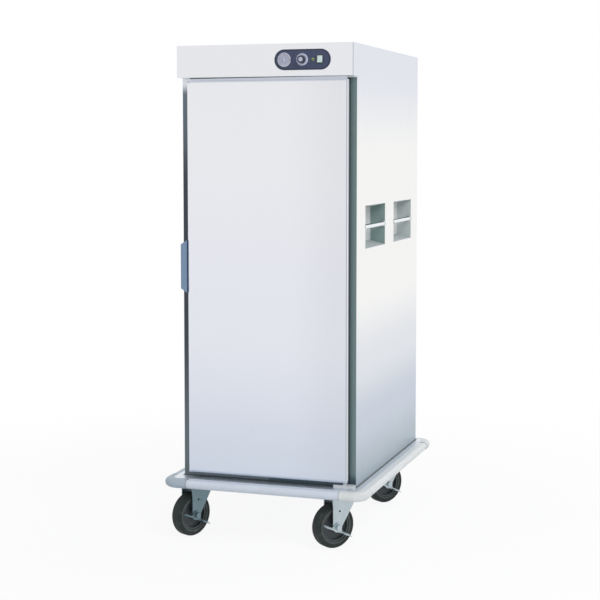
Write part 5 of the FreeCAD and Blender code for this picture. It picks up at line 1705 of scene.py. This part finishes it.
@dataclass
class PowerSupply:
    """The appliance inlet on the back."""

    cart: Cart
    pin_radius: float = 0.0017
    pin_pitch: float = 0.008
    pin_round: float = 0.0004
    pin_tip: float = 0.0006
    pin_taper_share: float = 0.75
    pin_steps: int = 20
    cup_floor: float = 0.004
    mouth_inset: float = 0.0029
    screw_radius: float = 0.0030
    screw_inset: float = 0.006
    edge: float = 0.0004

    def build(self) -> None:
        """Dress the inlet and add its pins and screws."""
        self.cart.dress(INLET, "power_inlet", edge=self.edge)
        inlet = self.cart.span("power_inlet")
        floor = inlet.low.y + self.cup_floor
        reach, radius = inlet.high.y - self.mouth_inset - floor, self.pin_radius
        profile = [
            (radius, 0.0), (radius, reach - self.pin_round),
            (self.pin_taper_share * radius, reach + self.pin_round), (0.0, reach + self.pin_tip),
        ]
        pins = Shape()
        for k in (-1, 0, 1):
            at = facing(Vector((inlet.middle.x + self.pin_pitch * k, floor, inlet.middle.z)), BACK)
            pins.turned(profile, at, self.pin_steps)
        pins.piece("inlet_pins", "cabinet", "dial_metal", BRASS)
        heads = Shape()
        for way in (-1, 1):
            x = inlet.middle.x + way * ((inlet.high.x - inlet.low.x) / 2 - self.screw_inset)
            heads.screw(facing(Vector((x, inlet.high.y, inlet.middle.z)), BACK), self.screw_radius)
        heads.piece("inlet_screws", "cabinet", "zinc", SCREW_STEEL)


@dataclass(frozen=True)
class Lamp:
    """A soft square lamp: where it hangs, what it points at, its side and its power in watts."""

    name: str
    place: Triple
    aim: Triple
    size: float
    power: float


@dataclass
class Studio:
    """Pale floor, soft light and the camera."""

    floor_half: float = 40.0
    floor_color: Color = (0.90, 0.91, 0.925)
    floor_roughness: float = 0.9
    white_span: Pair = (0.6, 2.6)
    white_shares: Pair = (0.90, 0.10)
    ambient: float = 0.45
    lamps: tuple[Lamp, ...] = (
        Lamp("key_light", (3.6, -3.2, 4.6), (0.0, 0.0, 0.9), 3.2, 165.0),
        Lamp("fill_light", (-4.2, -3.0, 3.4), (0.0, 0.0, 0.8), 3.0, 18.0),
        Lamp("rear_light", (1.5, 4.4, 3.8), (0.0, 0.0, 0.9), 3.0, 60.0),
    )
    camera_place: Triple = (1.6189, -4.9418, 1.3452)
    camera_yaw: float = 0.3203
    camera_pitch: float = -0.0734
    camera_shift: float = -0.08
    focal: float = 1434.82
    picture: float = 600.0
    sensor: float = 36.0

    def build(self) -> None:
        """Set the stage."""
        bpy.context.scene.view_settings.view_transform = "Standard"
        self.floor()
        self.world()
        for lamp in self.lamps:
            self.hang(lamp)
        self.camera()

    def floor(self) -> None:
        """A pale floor that keeps the cart's shadow and turns white away from it."""
        half = self.floor_half
        mesh = bpy.data.meshes.new("studio_floor")
        corners = [(-half, -half, 0.0), (half, -half, 0.0), (half, half, 0.0), (-half, half, 0.0)]
        mesh.from_pydata(corners, [], [(0, 1, 2, 3)])
        material = bpy.data.materials.new("studio_floor_pale")
        material.use_nodes = True
        graph = Graph(material.node_tree)
        x, y, _ = graph.axes()
        away = (x * x + y * y).root().ease(*self.white_span)
        matte = graph.principled({"Base Color": (*self.floor_color, 1.0), "Roughness": self.floor_roughness})
        white = graph.value("ShaderNodeEmission", None, {"Color": WHITE, "Strength": 1.0})
        near, gain = self.white_shares
        share = graph.seen() * (near + away * gain)
        both = graph.value("ShaderNodeMixShader", None, {0: share, 1: matte, 2: white})
        graph.node("ShaderNodeOutputMaterial", None, {"Surface": both})
        mesh.materials.append(material)
        ground = bpy.data.objects.new("studio_floor", mesh)
        bpy.context.scene.collection.objects.link(ground)
        ground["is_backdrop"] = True

    def world(self) -> None:
        """White as seen, and a dimmer even light from all round."""
        world = bpy.data.worlds.new("studio_world")
        world.use_nodes = True
        bpy.context.scene.world = world
        graph = Graph(world.node_tree)
        even = graph.value("ShaderNodeBackground", None, {"Color": WHITE, "Strength": self.ambient})
        white = graph.value("ShaderNodeBackground", None, {"Color": WHITE, "Strength": 1.0})
        both = graph.value("ShaderNodeMixShader", None, {0: graph.seen(), 1: even, 2: white})
        graph.node("ShaderNodeOutputWorld", None, {"Surface": both})

    def hang(self, lamp: Lamp) -> None:
        """Add a lamp that lights the cart but isn't mirrored in it.

        Args:
            lamp: What it is like.
        """
        light = bpy.data.lights.new(lamp.name, "AREA")
        light.shape, light.size, light.energy = "SQUARE", lamp.size, lamp.power
        made = bpy.data.objects.new(lamp.name, light)
        made.location = lamp.place
        made.rotation_euler = (Vector(lamp.aim) - Vector(lamp.place)).to_track_quat("-Z", "Y").to_euler()
        made.visible_glossy = False
        bpy.context.scene.collection.objects.link(made)

    def camera(self) -> None:
        """The camera where the photograph was taken from."""
        lens = bpy.data.cameras.new("studio_camera")
        lens.sensor_width = self.sensor
        lens.lens = self.focal / self.picture * self.sensor
        lens.shift_y = self.camera_shift
        made = bpy.data.objects.new("studio_camera", lens)
        made.location = self.camera_place
        made.rotation_euler = (math.pi / 2 + self.camera_pitch, 0.0, self.camera_yaw)
        bpy.context.scene.collection.objects.link(made)
        bpy.context.scene.camera = made


def main() -> None:
    """Build the looks in order."""
    logging.basicConfig(level=logging.INFO, format="%(name)s: %(message)s")
    cart = Cart()
    assemblies = [
        Studio(), Cabinet(cart), Base(cart), CasterPlates(cart),
        *(Caster(cart, corner) for corner in CORNERS),
        Door(cart), Interior(cart), Controls(cart), PowerSupply(cart),
    ]
    for assembly in assemblies:
        assembly.build()
        LOG.info("%s built", type(assembly).__name__)


if __name__ == "__main__":
    main()
